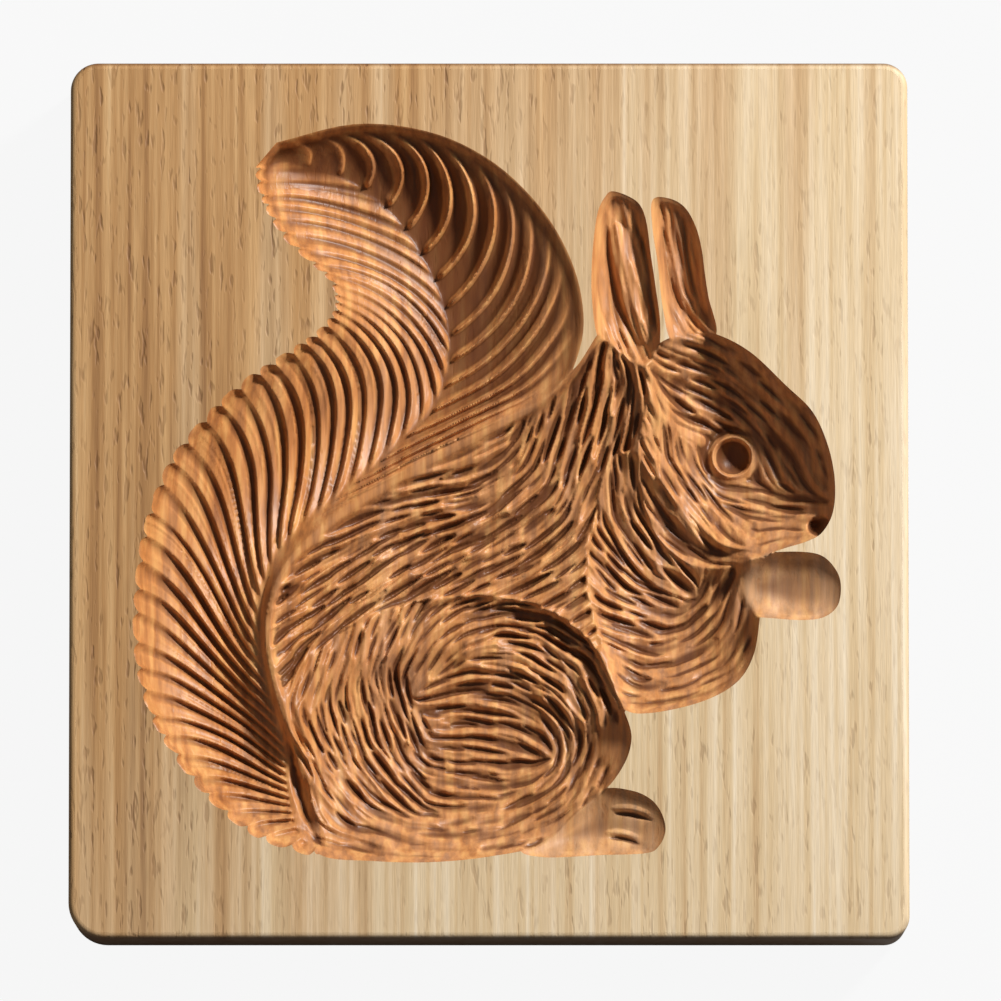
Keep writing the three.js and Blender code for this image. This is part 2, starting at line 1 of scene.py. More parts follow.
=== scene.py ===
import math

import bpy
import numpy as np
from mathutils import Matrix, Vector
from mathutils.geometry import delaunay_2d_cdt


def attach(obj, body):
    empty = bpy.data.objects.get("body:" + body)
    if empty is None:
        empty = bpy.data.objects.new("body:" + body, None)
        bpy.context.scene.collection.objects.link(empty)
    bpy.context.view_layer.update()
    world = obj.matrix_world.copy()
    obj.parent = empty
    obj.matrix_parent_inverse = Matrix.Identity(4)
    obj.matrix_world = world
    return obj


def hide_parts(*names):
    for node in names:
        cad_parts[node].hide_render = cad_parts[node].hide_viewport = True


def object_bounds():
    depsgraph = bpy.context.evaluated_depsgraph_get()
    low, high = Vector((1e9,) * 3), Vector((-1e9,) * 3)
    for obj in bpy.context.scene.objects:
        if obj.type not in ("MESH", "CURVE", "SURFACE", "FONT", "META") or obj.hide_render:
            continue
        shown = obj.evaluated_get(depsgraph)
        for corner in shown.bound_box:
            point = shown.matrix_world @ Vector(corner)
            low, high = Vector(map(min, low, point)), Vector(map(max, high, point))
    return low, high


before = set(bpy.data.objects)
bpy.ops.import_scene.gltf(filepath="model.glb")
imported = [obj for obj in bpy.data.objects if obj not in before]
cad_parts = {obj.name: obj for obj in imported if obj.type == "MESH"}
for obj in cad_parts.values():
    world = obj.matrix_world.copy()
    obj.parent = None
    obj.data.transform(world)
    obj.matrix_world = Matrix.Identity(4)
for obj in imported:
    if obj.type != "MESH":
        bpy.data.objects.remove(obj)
cad_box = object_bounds()

# A wooden cookie mould: a thick board with a seated squirrel carved into its face. The carving is
# worked out in millimetres on a grid over the face, with depths positive into the wood. A limb is
# a swelling that is cut into the wood, with gouge strokes for its fur. Points of the figure are
# measured from the same point of the face as in the CAD source.

MM = 0.001

# The board. The radii of its corners go anticlockwise from the top right one.
LEFT_MARGIN, BOTTOM_MARGIN = 9.8, 11.8
EDGE_ROUND = 1.0
CORNER_RADII = [3.8, 4.3, 5.6, 3.5]
CORNER_STEPS, ROUND_STEPS, SIDE_STEP = 12, 6, 8.0

# The grid over the carving, and how many triangles its surface is thinned to. A point nearer to
# the rim than RIM_SNAP of a grid step moves onto it, and those within RIM_KEPT of it stay.
GRID, MARGIN = 0.2, 2.0
THINNED_TO = 186000
RIM_KEPT, RIM_SNAP, SLOPE_LEAST = 0.5, 0.2, 0.25
# The maps that the carving's tint goes by: hollow, painted shade and highlight, and furred, oil
LOOKS = ("hollow", "furred")
RIM_SAMPLES, TAIL_SAMPLES = 180, 110
POINTS_AT_ONCE, BLUR_REACH, JOINED = 5000, 2.5, 1e-9

# A limb's section, a superellipse: steep at the rim and flat at the heart
RIM_POWER, RIM_ROOT = 2.0, 0.85

# Where limbs meet: a step with a crest on its edge, or a soft blend. One that is shallower than
# the others there by BEHIND doesn't show.
STEP_WIDTH = 1.6
CREST_HEIGHT, CREST_WIDTH, CREST_DEPTHS = 0.4, 0.6, (1.5, 4)
BLEND, BLEND_DEPTH = 2.0, 3
BEHIND = 0.3
LIMB_BLUR, LIMB_BLURRED = 0.55, (0.8, 2)

# The tail's locks, with places as shares of the spine or of the way out from it to the edge
TAIL_DEPTH = 7.8
TAIL_START, TAIL_LINES = -0.03, 420
OUT_LEAST, OUT_MOST = -0.02, 1.2
SPINE_SAMPLES, ROOT_ROUNDS = 400, 8
LOCK_COUNT, LOCK_SWING, LOCK_LIFTS = 90, 0.1, (0.72, 1.1)
LOCK_WAVE, WAVE_TURNS = 0.07, (2.3, 5)
LEFT_LOCKS = [(-0.3, 0), (0.44, 36.5), (0.55, 41), (0.66, 44.5), (0.82, 49), (1.1, 53)]
RIGHT_LOCKS = [(-0.3, 0), (1.1, 39)]
LOCK_GOUGE, RIGHT_GOUGE = 1.45, 2.2
CURL_START, CURL_GOUGE, CURL_STRAIGHT = (0.56, 0.72), 0.4, 0.45
LEFT_SWEEP, LEFT_BEND = 18.0, 2.0
RIGHT_SWEEP, RIGHT_BEND = 17.0, 0.65
SWEEP_FADE, GOUGE_LOW = 5, 0.75
GOUGE_POWER, RIGHT_POWER, RIGHT_TAPER, TAPER_END = 1.3, 2.2, 4.5, 0.5
THREAD, THREAD_PLACE, THREAD_WIDTH, THREAD_START = 0.28, 0.36, 0.07, (0.15, 0.5)
OUTER_FADE, OUTER_FADES = 0.6, (0.6, 0.95)
RIDGE_START, RIDGE_MOST = 0.06, 0.6
RIGHT_START = (0.38, 0.5)
RIGHT_END, RIGHT_FADE = 0.95, 0.4
TIP_SMOOTHED, TIP_SMOOTHING = (0.86, 0.97), 0.8
NOTCH, NOTCH_POWER, NOTCHED = 1.0, 3, (0.5, 0.9)
TORSO_OVER = (1.5, 2.5)
TAIL_WALL, WALL_POWER = 1.2, 0.6
ROOT_SHARE, ROOT_SWELL = 0.12, 0.6
TIP_SHARE, TIP_SWELL = 0.16, 0.3

# The limbs, from the back of the figure to the front. The outline is what a limb cuts in the
# face, and the heart its deepest point. Step is how far its rim steps down over a limb behind it,
# from none at the first point of stepping to all at the second. Fur is the length, width and
# depth of its gouge strokes, and the comb says which way they lie, from +X to +Y, and how hard
# they bite: [x, y, degrees, bite].
LIMBS = {}
LIMBS["torso"] = {"depth": 6.8, "fur": (8.5, 1.2, 1.4), "heart": (3, -4), "outline": [
    (17.7, 26.9), (13.4, 20.7), (8.7, 17.3), (1.8, 14.2), (-7.5, 10.1), (-14.9, 6.4), (-23.4, 1.2),
    (-29.5, -4.1), (-33.5, -9.1), (-35.8, -14.9), (-36.8, -21.4), (-36, -28.1), (-34.3, -34.7),
    (-32.1, -41.2), (-29.6, -49.6), (-24.5, -54.6), (-13.7, -55.9), (-2.9, -55.5), (8, -52.1),
    (17.3, -39.7), (26, -21.1), (29, -5.6), (28, 10), (25.6, 21), (20.7, 26.5),
], "comb": [
    (-24.5, -4.1, 27, 0.9), (-29.2, -16.5, 36, 1.3), (-21.4, -18, 40, 1.3), (-9.1, -10.3, 31, 1.1),
    (0.2, -6.4, 29, 1), (6.4, 0.5, 40, 1), (9.5, 11.4, 72, 1), (15.7, 16, 75, 1.1), (17.3, 23.8, 78, 1),
    (-2.9, 10.6, 25, 0.6), (-7.5, 0.5, 12, 0.9), (-13.7, 3.6, 14, 0.7), (-32.3, -27.3, 42, 1.1),
    (-29.9, -28.9, 82, 1), (-18, -14, 34, 1.3), (0, -13, 24, 1), (13, 4, 70, 1), (21, 24, 118, 0.7),
]}
LIMBS["foot"] = {"depth": 3.0, "heart": (17, -50.6), "outline": [
    (11.1, -47.7), (17.3, -44.8), (21.9, -45), (25, -46.4), (26.7, -48.7), (27.2, -51.3), (26.2, -53.6),
    (24.2, -54.7), (17.3, -55), (8, -55.3), (4.9, -53.6),
]}
LIMBS["paw"] = {"depth": 3.9, "heart": (43.5, -13.4), "outline": [
    (31, -13), (33.5, -10.5), (38.6, -9.2), (43, -8.2), (48.2, -8), (51.6, -8.7), (53.8, -11.1),
    (54.4, -13.7), (53.8, -16.5), (51.6, -18.2), (48.2, -18.6), (43.6, -18.3), (38, -17.8),
    (33.5, -16.5),
]}
LIMBS["shoulder"] = {"depth": 8.8, "fur": (8.5, 1.35, 1.0), "heart": (25.5, -14.9), "outline": [
    (17.3, 16), (23.4, 11.4), (31.5, 2), (38, -5), (42.2, -12), (41.8, -18.5), (40.8, -24.2),
    (38.1, -28.4), (32.7, -31.3), (25, -33), (20.7, -32.3), (17.3, -27.3), (12.6, -19.6), (9.5, -13.4),
    (8.7, -4.1), (11.1, 5.2), (14.2, 12.9),
], "comb": [
    (11.1, -14.9, -60, 1), (17.3, -8.7, -50, 1.2), (20.4, 3.6, -85, 0.9), (15.7, 0.5, -85, 1.2),
    (23.4, -5.6, -55, 1.1), (26.5, -14.9, -25, 0.8), (20.4, -19.6, -15, 1), (29.6, -21.1, 20, 0.9),
    (32.7, -18, 45, 0.9), (35.8, -13.4, 65, 0.8), (38.9, -16.5, 78, 0.7), (32.7, -27.3, 25, 0.8),
    (26.5, -28.9, 8, 0.8), (38.9, -22.7, 60, 0.7), (20.4, -25.8, -30, 1), (14.2, -21.1, -40, 1),
    (16, 12, -88, 1), (19, 8, -84, 0.9), (30, -9, -48, 0.8), (24, -18, -20, 0.8),
]}
LIMBS["haunch"] = {"depth": 10.0, "step": 1.5, "stepping": ((-14, 0), (4, 0)),
                   "fur": (8.0, 1.2, 0.95), "heart": (-1, -36), "outline": [
    (-24.5, -21.1), (-16.8, -16.8), (-7.5, -14.6), (1.8, -14.6), (9.5, -16.8), (15.7, -21.9),
    (19.1, -28.9), (21.6, -34.7), (21.9, -37.8), (20.7, -41.2), (18, -44.8), (13.4, -48.2), (8, -53.3),
    (0.2, -55.2), (-9.1, -56.1), (-18.3, -55.9), (-26, -55), (-30, -50.2), (-31.6, -42.5), (-31.6, -33),
    (-29.4, -26),
], "comb": [
    (-26.1, -27.3, 70, 1), (-19.9, -24.2, 75, 1.2), (-13.7, -21.1, 66, 1.2), (-22.2, -33.5, -75, 1.3),
    (-16, -30.4, -74, 1.3), (-12.9, -35, -70, 1.2), (-24.5, -38.9, -60, 1.2), (-16.8, -41.2, -52, 1.1),
    (-12.1, -44.3, -48, 1), (-29.2, -45.9, -75, 0.8), (-23, -45.9, -50, 0.9), (-15.2, -50.5, -20, 0.6),
    (-9.1, -51.3, 0, 0.6), (-21.4, -53.6, -15, 0.5), (-9.1, -24.2, 58, 1.1), (-6, -21.1, 40, 1),
    (-1.3, -18.8, 18, 1.1), (4.9, -18.8, -8, 1.4), (11.1, -22.7, -35, 1.4), (15.7, -28.9, -62, 1.3),
    (17.3, -35, -85, 0.9), (-6, -28.9, 12, 1), (0.2, -27.3, -5, 0.9), (6.4, -28.9, -28, 1),
    (11.1, -33.5, -50, 0.9), (-6, -35, 0, 0.9), (0.2, -35, -12, 0.8), (6.4, -37.4, -26, 0.9),
    (10.8, -36.8, -72, 0.9), (-6, -42.8, -3, 0.8), (0.2, -42.8, -8, 0.8), (4.9, -42.8, 12, 0.8),
    (8.7, -42.5, 42, 1), (12.6, -39.7, 68, 1), (15.7, -41.2, 66, 0.8), (4.9, -47.4, 26, 0.7),
    (-2.9, -49.8, 10, 0.6),
]}
LIMBS["far_ear"] = {"depth": 2.9, "fur": (10.0, 1.3, 0.6), "heart": (30, 34), "outline": [
    (25.3, 46.7), (27.8, 47), (30.3, 45.6), (32, 42.6), (32.9, 39.2), (33.4, 35.4), (34, 31.5),
    (35.2, 26.1), (32.7, 23.8), (28.4, 24.5), (26.9, 29.9), (26.1, 36.9), (25.3, 42.3),
], "comb": [
    (27, 42, -80, 1), (29, 35, -78, 1), (31, 30, -66, 1), (33, 27, -50, 1),
]}
LIMBS["head"] = {"depth": 9.4, "step": 1.5, "stepping": ((0, 6), (0, -3)),
                 "fur": (8.5, 1.2, 0.8), "heart": (38, 6), "outline": [
    (35.2, 25.8), (40.5, 23), (45.9, 17.9), (50.1, 13.7), (52.5, 8.3), (53.5, 2.9), (53.2, -1.8),
    (51.6, -4.9), (49.4, -6.3), (45.9, -7.4), (41.2, -8.9), (35.8, -10), (31.2, -9.1), (27.3, -6.4),
    (24.7, -1.8), (23.4, 4.4), (23.4, 9.8), (24.7, 16), (24.2, 21.4), (26.5, 24.5), (31.2, 26.1),
], "comb": [
    (31.2, 20.7, -15, 0.9), (38.9, 23.8, -35, 0.6), (46.7, 11.4, -50, 0.6), (49.8, 6.7, -65, 0.6),
    (42, 6.7, -70, 0.6), (31.2, 11.4, -18, 1), (32.7, 8.3, -75, 0.8), (28.1, 9.8, -85, 1.1),
    (25, 8.3, -60, 1.2), (23.4, 16, -65, 1.1), (26.5, 2.1, -60, 1.1), (31.2, 3.6, -50, 1),
    (32.7, 0.5, -58, 1), (38.9, 2.1, -10, 0.9), (42, -1, -10, 0.9), (32.7, -4.1, -55, 1),
    (38.9, -4.1, -60, 0.8), (31.2, -6.4, -35, 0.9), (37.3, -8, -5, 0.7), (43.6, -6.4, 15, 0.7),
    (46.7, -2.6, -5, 0.8), (35, 15, -25, 0.9), (41, 16, -42, 0.7),
]}
LIMBS["near_ear"] = {"depth": 3.4, "fur": (7.0, 1.1, 0.8), "heart": (21.3, 32), "outline": [
    (16.8, 25.3), (15.9, 31.5), (15.9, 36.9), (16.3, 41.6), (16.9, 45.1), (18, 47.3), (19.1, 48.1),
    (21.6, 47.3), (23.4, 45.9), (24.4, 43.1), (25, 38.5), (25.8, 33), (26.5, 26.9), (25.8, 21.4),
    (22.7, 19.9), (19.1, 22.2),
], "comb": [
    (18, 27, -70, 0.9), (20.5, 24, -66, 1.2), (24, 21.5, -64, 1.2), (17.2, 33, -84, 0.6),
    (17.4, 40, -90, 0.2), (21.5, 32, -76, 0), (24.6, 31, -80, 0.1), (21, 42, -84, 0),
]}

# The tail: its spine from root to tip, and on each side the edge that faces each spine point
SPINE = [
    (-29.2, -46.2), (-29.9, -43.1), (-31, -39.2), (-33.2, -33.2), (-34.7, -27.6), (-35.7, -21.4),
    (-35.4, -14.9), (-33.4, -9.1), (-29.6, -4.4), (-24.1, 0.5), (-18.6, 5), (-13.4, 10.1), (-8.7, 15.2),
    (-6.4, 20.7), (-6, 26.1), (-7, 31.8), (-9.4, 37.4), (-12.5, 42.6), (-16.5, 47.1), (-21.4, 50.5),
    (-27.5, 52.4), (-35, 53.8),
]
LEFT_EDGE = [
    (-26.7, -55.5), (-35.7, -52.5), (-42.8, -47.1), (-48.7, -40), (-52.9, -32.4), (-55, -23.4),
    (-54.9, -13.4), (-53.5, -4.1), (-50.1, 5.2), (-44.6, 12.6), (-38, 18.8), (-31.6, 23), (-26.9, 26.2),
    (-24.4, 29), (-23.9, 31.3), (-24.8, 34), (-27.5, 36.6), (-31.3, 40), (-34.1, 44), (-35.5, 47.2),
    (-36.2, 49.6), (-36.2, 51.9),
]
RIGHT_EDGE = [
    (-25.1, -53.3), (-25.8, -48.2), (-27.9, -41.2), (-30.9, -33.8), (-32.7, -27.6), (-33.7, -21.4),
    (-33.2, -15.9), (-31, -10.8), (-27.3, -6.7), (-21.4, -2.6), (-15.2, 1), (-7.5, 5.5), (1.8, 10.8),
    (10.4, 16.2), (14.2, 24.2), (14.3, 31.5), (12, 38.9), (7.4, 46.2), (0.2, 52.9), (-9.1, 57.3),
    (-20.7, 58.6), (-33, 55.7),
]

# The fur: broad soft hollows, and short sharp cuts over them. Length, width and depth are shares
# of the limb's own, room is what a stroke keeps clear along and across it in its own lengths and
# widths, power shapes its section from 1, a V, to 2, a round one, and least is its least bite.
FUR_LAYERS = [
    {"length": 1.5, "width": 1.7, "depth": 0.9, "room": (0.42, 0.85), "power": 2.0, "least": 0.8},
    {"length": 0.9, "width": 0.7, "depth": 0.8, "room": (0.5, 1.9), "power": 1.1, "least": 0.3},
]
STROKE_STEPS = 12
STROKE_TRIES = 9000
STROKE_TURN = math.radians(28)
STROKE_ROOM, STROKE_SWING = (0.75, 1.4), 0.07
STROKE_LENGTHS, STROKE_WIDTHS = (0.5, 1.3), (0.7, 1.25)
STROKE_TAPER = 0.45
COMB_SPREAD, COMBED, COMBED_LEAST = 2, (0.25, 0.6), 0.1
SEED = 7

# Where the fur stops: at a limb's border, the rim, the tail, the knee, [x, y, radius], and the eye
FLOWING = ("torso", "shoulder", "near_ear")
FLOWING_SPILL, SPILL, SPILLED = 1.2, 0.3, (0.3, 0.7)
RIM_BARE, RIM_FURRED = 0.8, (0.72, 0.99)
TAIL_BARE, TAIL_FURRED = 1.0, (0.04, 0.3)
KNEE, KNEE_FURRED = (19.9, -38.1, 4.2), (0.6, 1.1)
EYE_CLEARING = (3.4, 4.6)
SOFTENING, SOFTENED = 0.12, (0.3, 0.8)
LEAST_DEPTH = 0.02

# Painted shade in the carving, with some real oil: darker in fine and broad hollows, less where
# the tail borders on fur, more in the curl and below DEEP_FROM; paler, painted highlight and wear,
# where the wood stands high
FINE_REACH, FINE_DEPTH = 0.8, 0.5
BROAD_REACHES, BROAD_DEPTH, BROAD_INSIDE = (0.5, 1.8), 0.9, (2, 5)
HOLLOW_GAIN, CURL_GAIN, CURL_PAINTED_SHADE, CURL_LEFT, CURL_BLUR = 1.2, 0.7, 0.35, 0.5, 0.3
CONTRAST = {"tail": -0.55, "near_ear": -0.6, "far_ear": -0.6, "torso": 0.3}
TAIL_BORDER = 3.2
DEEP_REACH, DEEP_FROM, DEEP_PAINTED_SHADE, DEEP_LIMITS = 2.5, 7.2, 0.06, (-0.12, 0.25)
PALE_INSIDE = (0.4, 2)
BARE_LIMBS, BARE_FURRED, FURRED_BLUR = ("paw", "foot"), 0.65, 0.4

# Single cuts: (points of the cut, width, depth), a depth below 0 being wood left standing
CUT_SAMPLES = 12
SINGLE_CUTS = [
    ([(18.3, 43), (18.6, 37), (20, 31), (22.6, 25.5)], 1.4, 1),
    ([(22.6, 43.5), (24.4, 38), (25.2, 31), (26.6, 24)], 1.5, 1.2),
    ([(26.9, 43), (27.5, 37), (29.2, 31.5), (32.9, 26)], 1.2, 1.1),
    ([(18.8, -47.6), (21.8, -47.7), (24.9, -48.6)], 1.3, -0.5),
    ([(19.3, -48.4), (22, -48.6), (25.2, -49.6)], 0.9, 0.7),
    ([(17.8, -51.3), (20.4, -51.4), (23.2, -52.2)], 1.3, -0.5),
    ([(18.6, -52.2), (20.8, -52.4), (23.4, -53.3)], 0.9, 0.7),
]
EAR_LEAF = ([(19.6, 43.5), (20.5, 38.5), (21.6, 33.5), (22.7, 29), (24.2, 24.5)], 5.4, -2)

# The eye: a ball cutter's pit in a thin standing lid, with a groove outside it
EYE = (37.8, 7.5)
PIT_RADIUS, PIT_DEPTH = 2.8, 2.3
LID_RADIUS, LID_WIDTH, LID_HEIGHT = 3.1, 0.24, 0.6
GROOVE_RADIUS, GROOVE_WIDTH, GROOVE_DEPTH = 4.1, 0.8, 0.9
GROOVE_TURN = math.radians(45)
NOSE = (51.2, -3.9)
NOSE_RADIUS, NOSE_DEPTH = 1.9, 2.0


def curve(points, at, closed=False):
    """Catmull-Rom: a cubic between each two points, whose slope at a point is half the step from
    the point before to the point after. at is the share of the way along, by count of points."""
    points = np.array(points, float)
    if closed:
        padded = np.vstack([points[-1:], points, points[:2]])
        place = (np.asarray(at) % 1) * len(points)
        stretch = np.minimum(place.astype(int), len(points) - 1)
    else:
        first, last = 2 * points[0] - points[1], 2 * points[-1] - points[-2]
        padded = np.vstack([first, points, last])
        place = np.asarray(at) * (len(points) - 1)
        stretch = np.clip(np.floor(place).astype(int), 0, len(points) - 2)
    w = (place - stretch)[..., None]
    before, start, end, after = (padded[stretch + k] for k in range(4))
    slope_in, slope_out = (end - before) / 2, (after - start) / 2
    square = 3 * (end - start) - 2 * slope_in - slope_out
    cube = 2 * (start - end) + slope_in + slope_out
    return start + slope_in * w + square * w**2 + cube * w**3


def ease(low, high, value):
    """0 below low, 1 above high, and between them 3 share^2 - 2 share^3."""
    share = np.clip((value - low) / (high - low), 0, 1)
    return share * share * (3 - 2 * share)


def crown(q, power=RIM_POWER):
    """Share of a limb's depth at q, the distance from its heart (0) to its rim (1)."""
    return (1 - np.clip(q, 0, 1) ** power) ** RIM_ROOT


def bell(gap, width):
    """1 where the gap is 0, falling off to both sides as e to the minus (gap / width)^2."""
    return np.exp(-(gap / width) ** 2)


def ball_pit(away, radius, depth):
    """The depth that a ball cutter leaves at a distance from its middle, as an ellipse falls."""
    return depth * np.sqrt(np.clip(1 - (away / radius) ** 2, 0, 1))


def nearest_on(x, y, start, end):
    """Where a straight line comes nearest to each point: the share of the way along it, and how
    far the point lies from there along X and along Y."""
    (ax, ay), (bx, by) = start, end
    dx, dy = bx - ax, by - ay
    share = np.clip(((x - ax) * dx + (y - ay) * dy) / (dx * dx + dy * dy), 0, 1)
    return share, x - ax - share * dx, y - ay - share * dy


def inside_by(outline, x, y):
    """How far each point lies inside a closed outline, negative outside: the distance to the
    nearest side, signed by how many sides a ray to the right crosses."""
    nearest = np.full(x.shape, np.inf)
    crossed = np.zeros(x.shape, bool)
    for start, end in zip(outline, np.roll(outline, -1, axis=0)):
        _, off_x, off_y = nearest_on(x, y, start, end)
        np.minimum(nearest, off_x**2 + off_y**2, out=nearest)
        (ax, ay), (bx, by) = start, end
        if ay != by:
            crossed ^= ((ay > y) != (by > y)) & (x < ax + (y - ay) / (by - ay) * (bx - ax))
    return np.where(crossed, 1, -1) * np.sqrt(nearest)


def limb_share(limb, x, y):
    """q, each point's distance from the heart as a share of the rim's in the same direction."""
    rim = curve(limb["outline"], np.linspace(0, 1, 4 * RIM_SAMPLES, endpoint=False), closed=True)
    across, up = (rim - np.array(limb["heart"])).T
    angle = np.arctan2(up, across)
    order = np.argsort(angle)
    x, y = x - limb["heart"][0], y - limb["heart"][1]
    reach = np.interp(np.arctan2(y, x), angle[order], np.hypot(across, up)[order],
                      period=2 * np.pi)
    return np.hypot(x, y) / reach


def tail_place(x, y):
    """Where each point lies in the tail: the share along the spine, the share of the way out to
    the edge, and +1 on the right or -1 on the left. Straight lines join spine and edge; a point
    lies between two of them where its side of the line changes."""
    along = np.linspace(TAIL_START, 1.0, TAIL_LINES)
    spine = curve(SPINE, along)
    best = np.full(x.shape, np.inf)
    found = 0, 2.0, 1
    for edge, side in ((LEFT_EDGE, -1), (RIGHT_EDGE, 1)):
        out = curve(edge, along) - spine
        width = np.hypot(*out.T)
        px, py = x[:, None] - spine[:, 0], y[:, None] - spine[:, 1]
        off = out[:, 0] * py - out[:, 1] * px
        share = (px * out[:, 0] + py * out[:, 1]) / width**2
        between = off[:, :-1] / np.where(off[:, :-1] == off[:, 1:], 1, off[:, :-1] - off[:, 1:])
        t = share[:, :-1] + between * (share[:, 1:] - share[:, :-1])
        real = (off[:, :-1] * off[:, 1:] <= 0) & (t > OUT_LEAST) & (t < OUT_MOST)
        reach = np.where(real, np.abs(t) * width[:-1], np.inf)
        spot = np.arange(len(x)), np.argmin(reach, axis=1)
        closer = reach[spot] < best
        best = np.where(closer, reach[spot], best)
        place = along[spot[1]] + between[spot] * (along[1] - along[0])
        found = [np.where(closer, new, old) for new, old in zip((place, t[spot], side), found)]
    return found


def lock_ridges(s, t, side):
    """How high the ridges between the tail's locks stand, about 1 at a crest, and how far they
    notch the edge. A lock is numbered by its root on the spine, which is a point's own place
    less the sweep that its share of the way out adds. A gouge falls gently from the ridge before
    it and rises steeply to the one after it, by a power of the distance from its bottom. On the
    left a thin thread stands on the gentle fall."""
    line = curve(SPINE, np.linspace(0, 1, SPINE_SAMPLES))
    length = np.hypot(*np.diff(line, axis=0).T).sum()
    inner = np.clip(t, 0, 1)
    left = LEFT_SWEEP * (1 - (1 - inner) ** LEFT_BEND)
    right = RIGHT_SWEEP * inner * (1 + RIGHT_BEND * inner)
    sweep = np.where(side < 0, left, right) / length
    root = s.copy()
    for _ in range(ROOT_ROUNDS):
        root = s - sweep * (1 - np.clip(root, 0, 1) ** SWEEP_FADE)

    random = np.random.default_rng(SEED)
    swing = random.normal(0, LOCK_SWING, (2, LOCK_COUNT))
    lift = random.uniform(*LOCK_LIFTS, (2, LOCK_COUNT))
    counts = [np.interp(root, *np.transpose(table)) for table in (LEFT_LOCKS, RIGHT_LOCKS)]
    number = 1 + np.where(side < 0, *counts)
    row = (side > 0).astype(int)
    number = number + swing[row, np.round(number).astype(int)] * np.sin(np.pi * number) ** 2
    number = number + LOCK_WAVE * np.sin(WAVE_TURNS[0] * number + WAVE_TURNS[1] * t) * inner

    across = number - np.floor(number)
    ridge = np.maximum(1 - across / GOUGE_LOW, (across - GOUGE_LOW) / (1 - GOUGE_LOW))
    thinner = RIGHT_POWER + RIGHT_TAPER * (1 - ease(0, TAPER_END, t))
    ridge = ridge ** np.where(side < 0, GOUGE_POWER, thinner)
    ridge = ridge * lift[row, np.round(number).astype(int)]
    thread = bell(across - THREAD_PLACE, THREAD_WIDTH)
    ridge = ridge + THREAD * thread * ease(*THREAD_START, t) * (side < 0)
    ridge = ridge * (1 - TIP_SMOOTHING * ease(*TIP_SMOOTHED, s))
    notch = (2 * np.abs(across - 0.5)) ** NOTCH_POWER
    return ridge, notch * (side < 0)


def tail_floor(s, inner, side, curled):
    """The tail's depth without its locks: a crown across its width, less at the root and the
    tip. Right in the curl it starts at the spine instead of the middle, and is straighter."""
    tip = np.clip((s - 1) / TIP_SHARE + 1, 0, 1)
    swell = ROOT_SWELL + (1 - ROOT_SWELL) * ease(0, ROOT_SHARE, s)
    swell = swell * (TIP_SWELL + (1 - TIP_SWELL) * crown(tip))
    spine = curve(SPINE, np.clip(s, 0, 1))
    left, right = (np.hypot(*(curve(edge, np.clip(s, 0, 1)) - spine).T)
                   for edge in (LEFT_EDGE, RIGHT_EDGE))
    width, rest = np.where(side < 0, left, right), np.where(side < 0, right, left)
    from_middle = np.abs(2 * inner * width + rest - width) / (width + rest)
    hooked = curled * (side > 0)
    return TAIL_DEPTH * swell * crown(from_middle + (inner - from_middle) * hooked,
                                      RIM_POWER - CURL_STRAIGHT * hooked)


def tail_field(x, y, inside, covered):
    """The tail's depth, how far each point lies inside its notched edge, and how much painted shade
    it gets for lying in the curl. covered is how far it lies inside the torso, which takes the
    ridges away. The left gouges get shallower at the edge and in the curl, and the right ones start
    above the root."""
    s, t, side = tail_place(x, y)
    t = np.clip(t, 0, OUT_MOST)
    curled = ease(*CURL_START, s)
    floor = tail_floor(s, np.clip(t, 0, 1), side, curled)
    ridge, notch = lock_ridges(s, t, side)
    stands = np.minimum(1, t / RIDGE_START) * (1 - ease(*TORSO_OVER, covered))
    fading = 1 - ease(RIGHT_END - RIGHT_FADE, RIGHT_END, t)
    fading = fading * ease(*RIGHT_START, s)
    finer = (1 - (1 - CURL_GOUGE) * curled) * (1 - OUTER_FADE * ease(*OUTER_FADES, t))
    stands = stands * np.where(side > 0, fading, finer)
    edge = inside - NOTCH * notch * ease(*NOTCHED, t)
    gouge = np.where(side > 0, RIGHT_GOUGE, LOCK_GOUGE)
    height = np.minimum(gouge * ridge * stands, RIDGE_MOST * floor)
    wall = np.clip(edge / TAIL_WALL, 0, 1) ** WALL_POWER
    # The curl's painted shade is full on the right and a share of it on the left
    return (floor - height) * wall, edge, curled * np.where(side > 0, 1, CURL_LEFT)


def fur_lie(comb, x, y):
    """How the fur lies at each point, how hard its strokes bite, and how well the comb's strokes
    round it agree. Each weighs less with its distance, to the fourth power. Angles are doubled
    in the sum, so that a stroke and its reverse count as one."""
    combed = np.array(comb, float)
    gap = (x[..., None] - combed[:, 0]) ** 2 + (y[..., None] - combed[:, 1]) ** 2
    nearness = 1 / (COMB_SPREAD + gap) ** 2
    doubled = np.radians(2 * combed[:, 2])
    up, right = (nearness * np.sin(doubled)).sum(-1), (nearness * np.cos(doubled)).sum(-1)
    bite = (nearness * combed[:, 3]).sum(-1) / nearness.sum(-1)
    agreed = ease(*COMBED, np.hypot(up, right) / nearness.sum(-1))
    return np.arctan2(up, right) / 2, bite, agreed


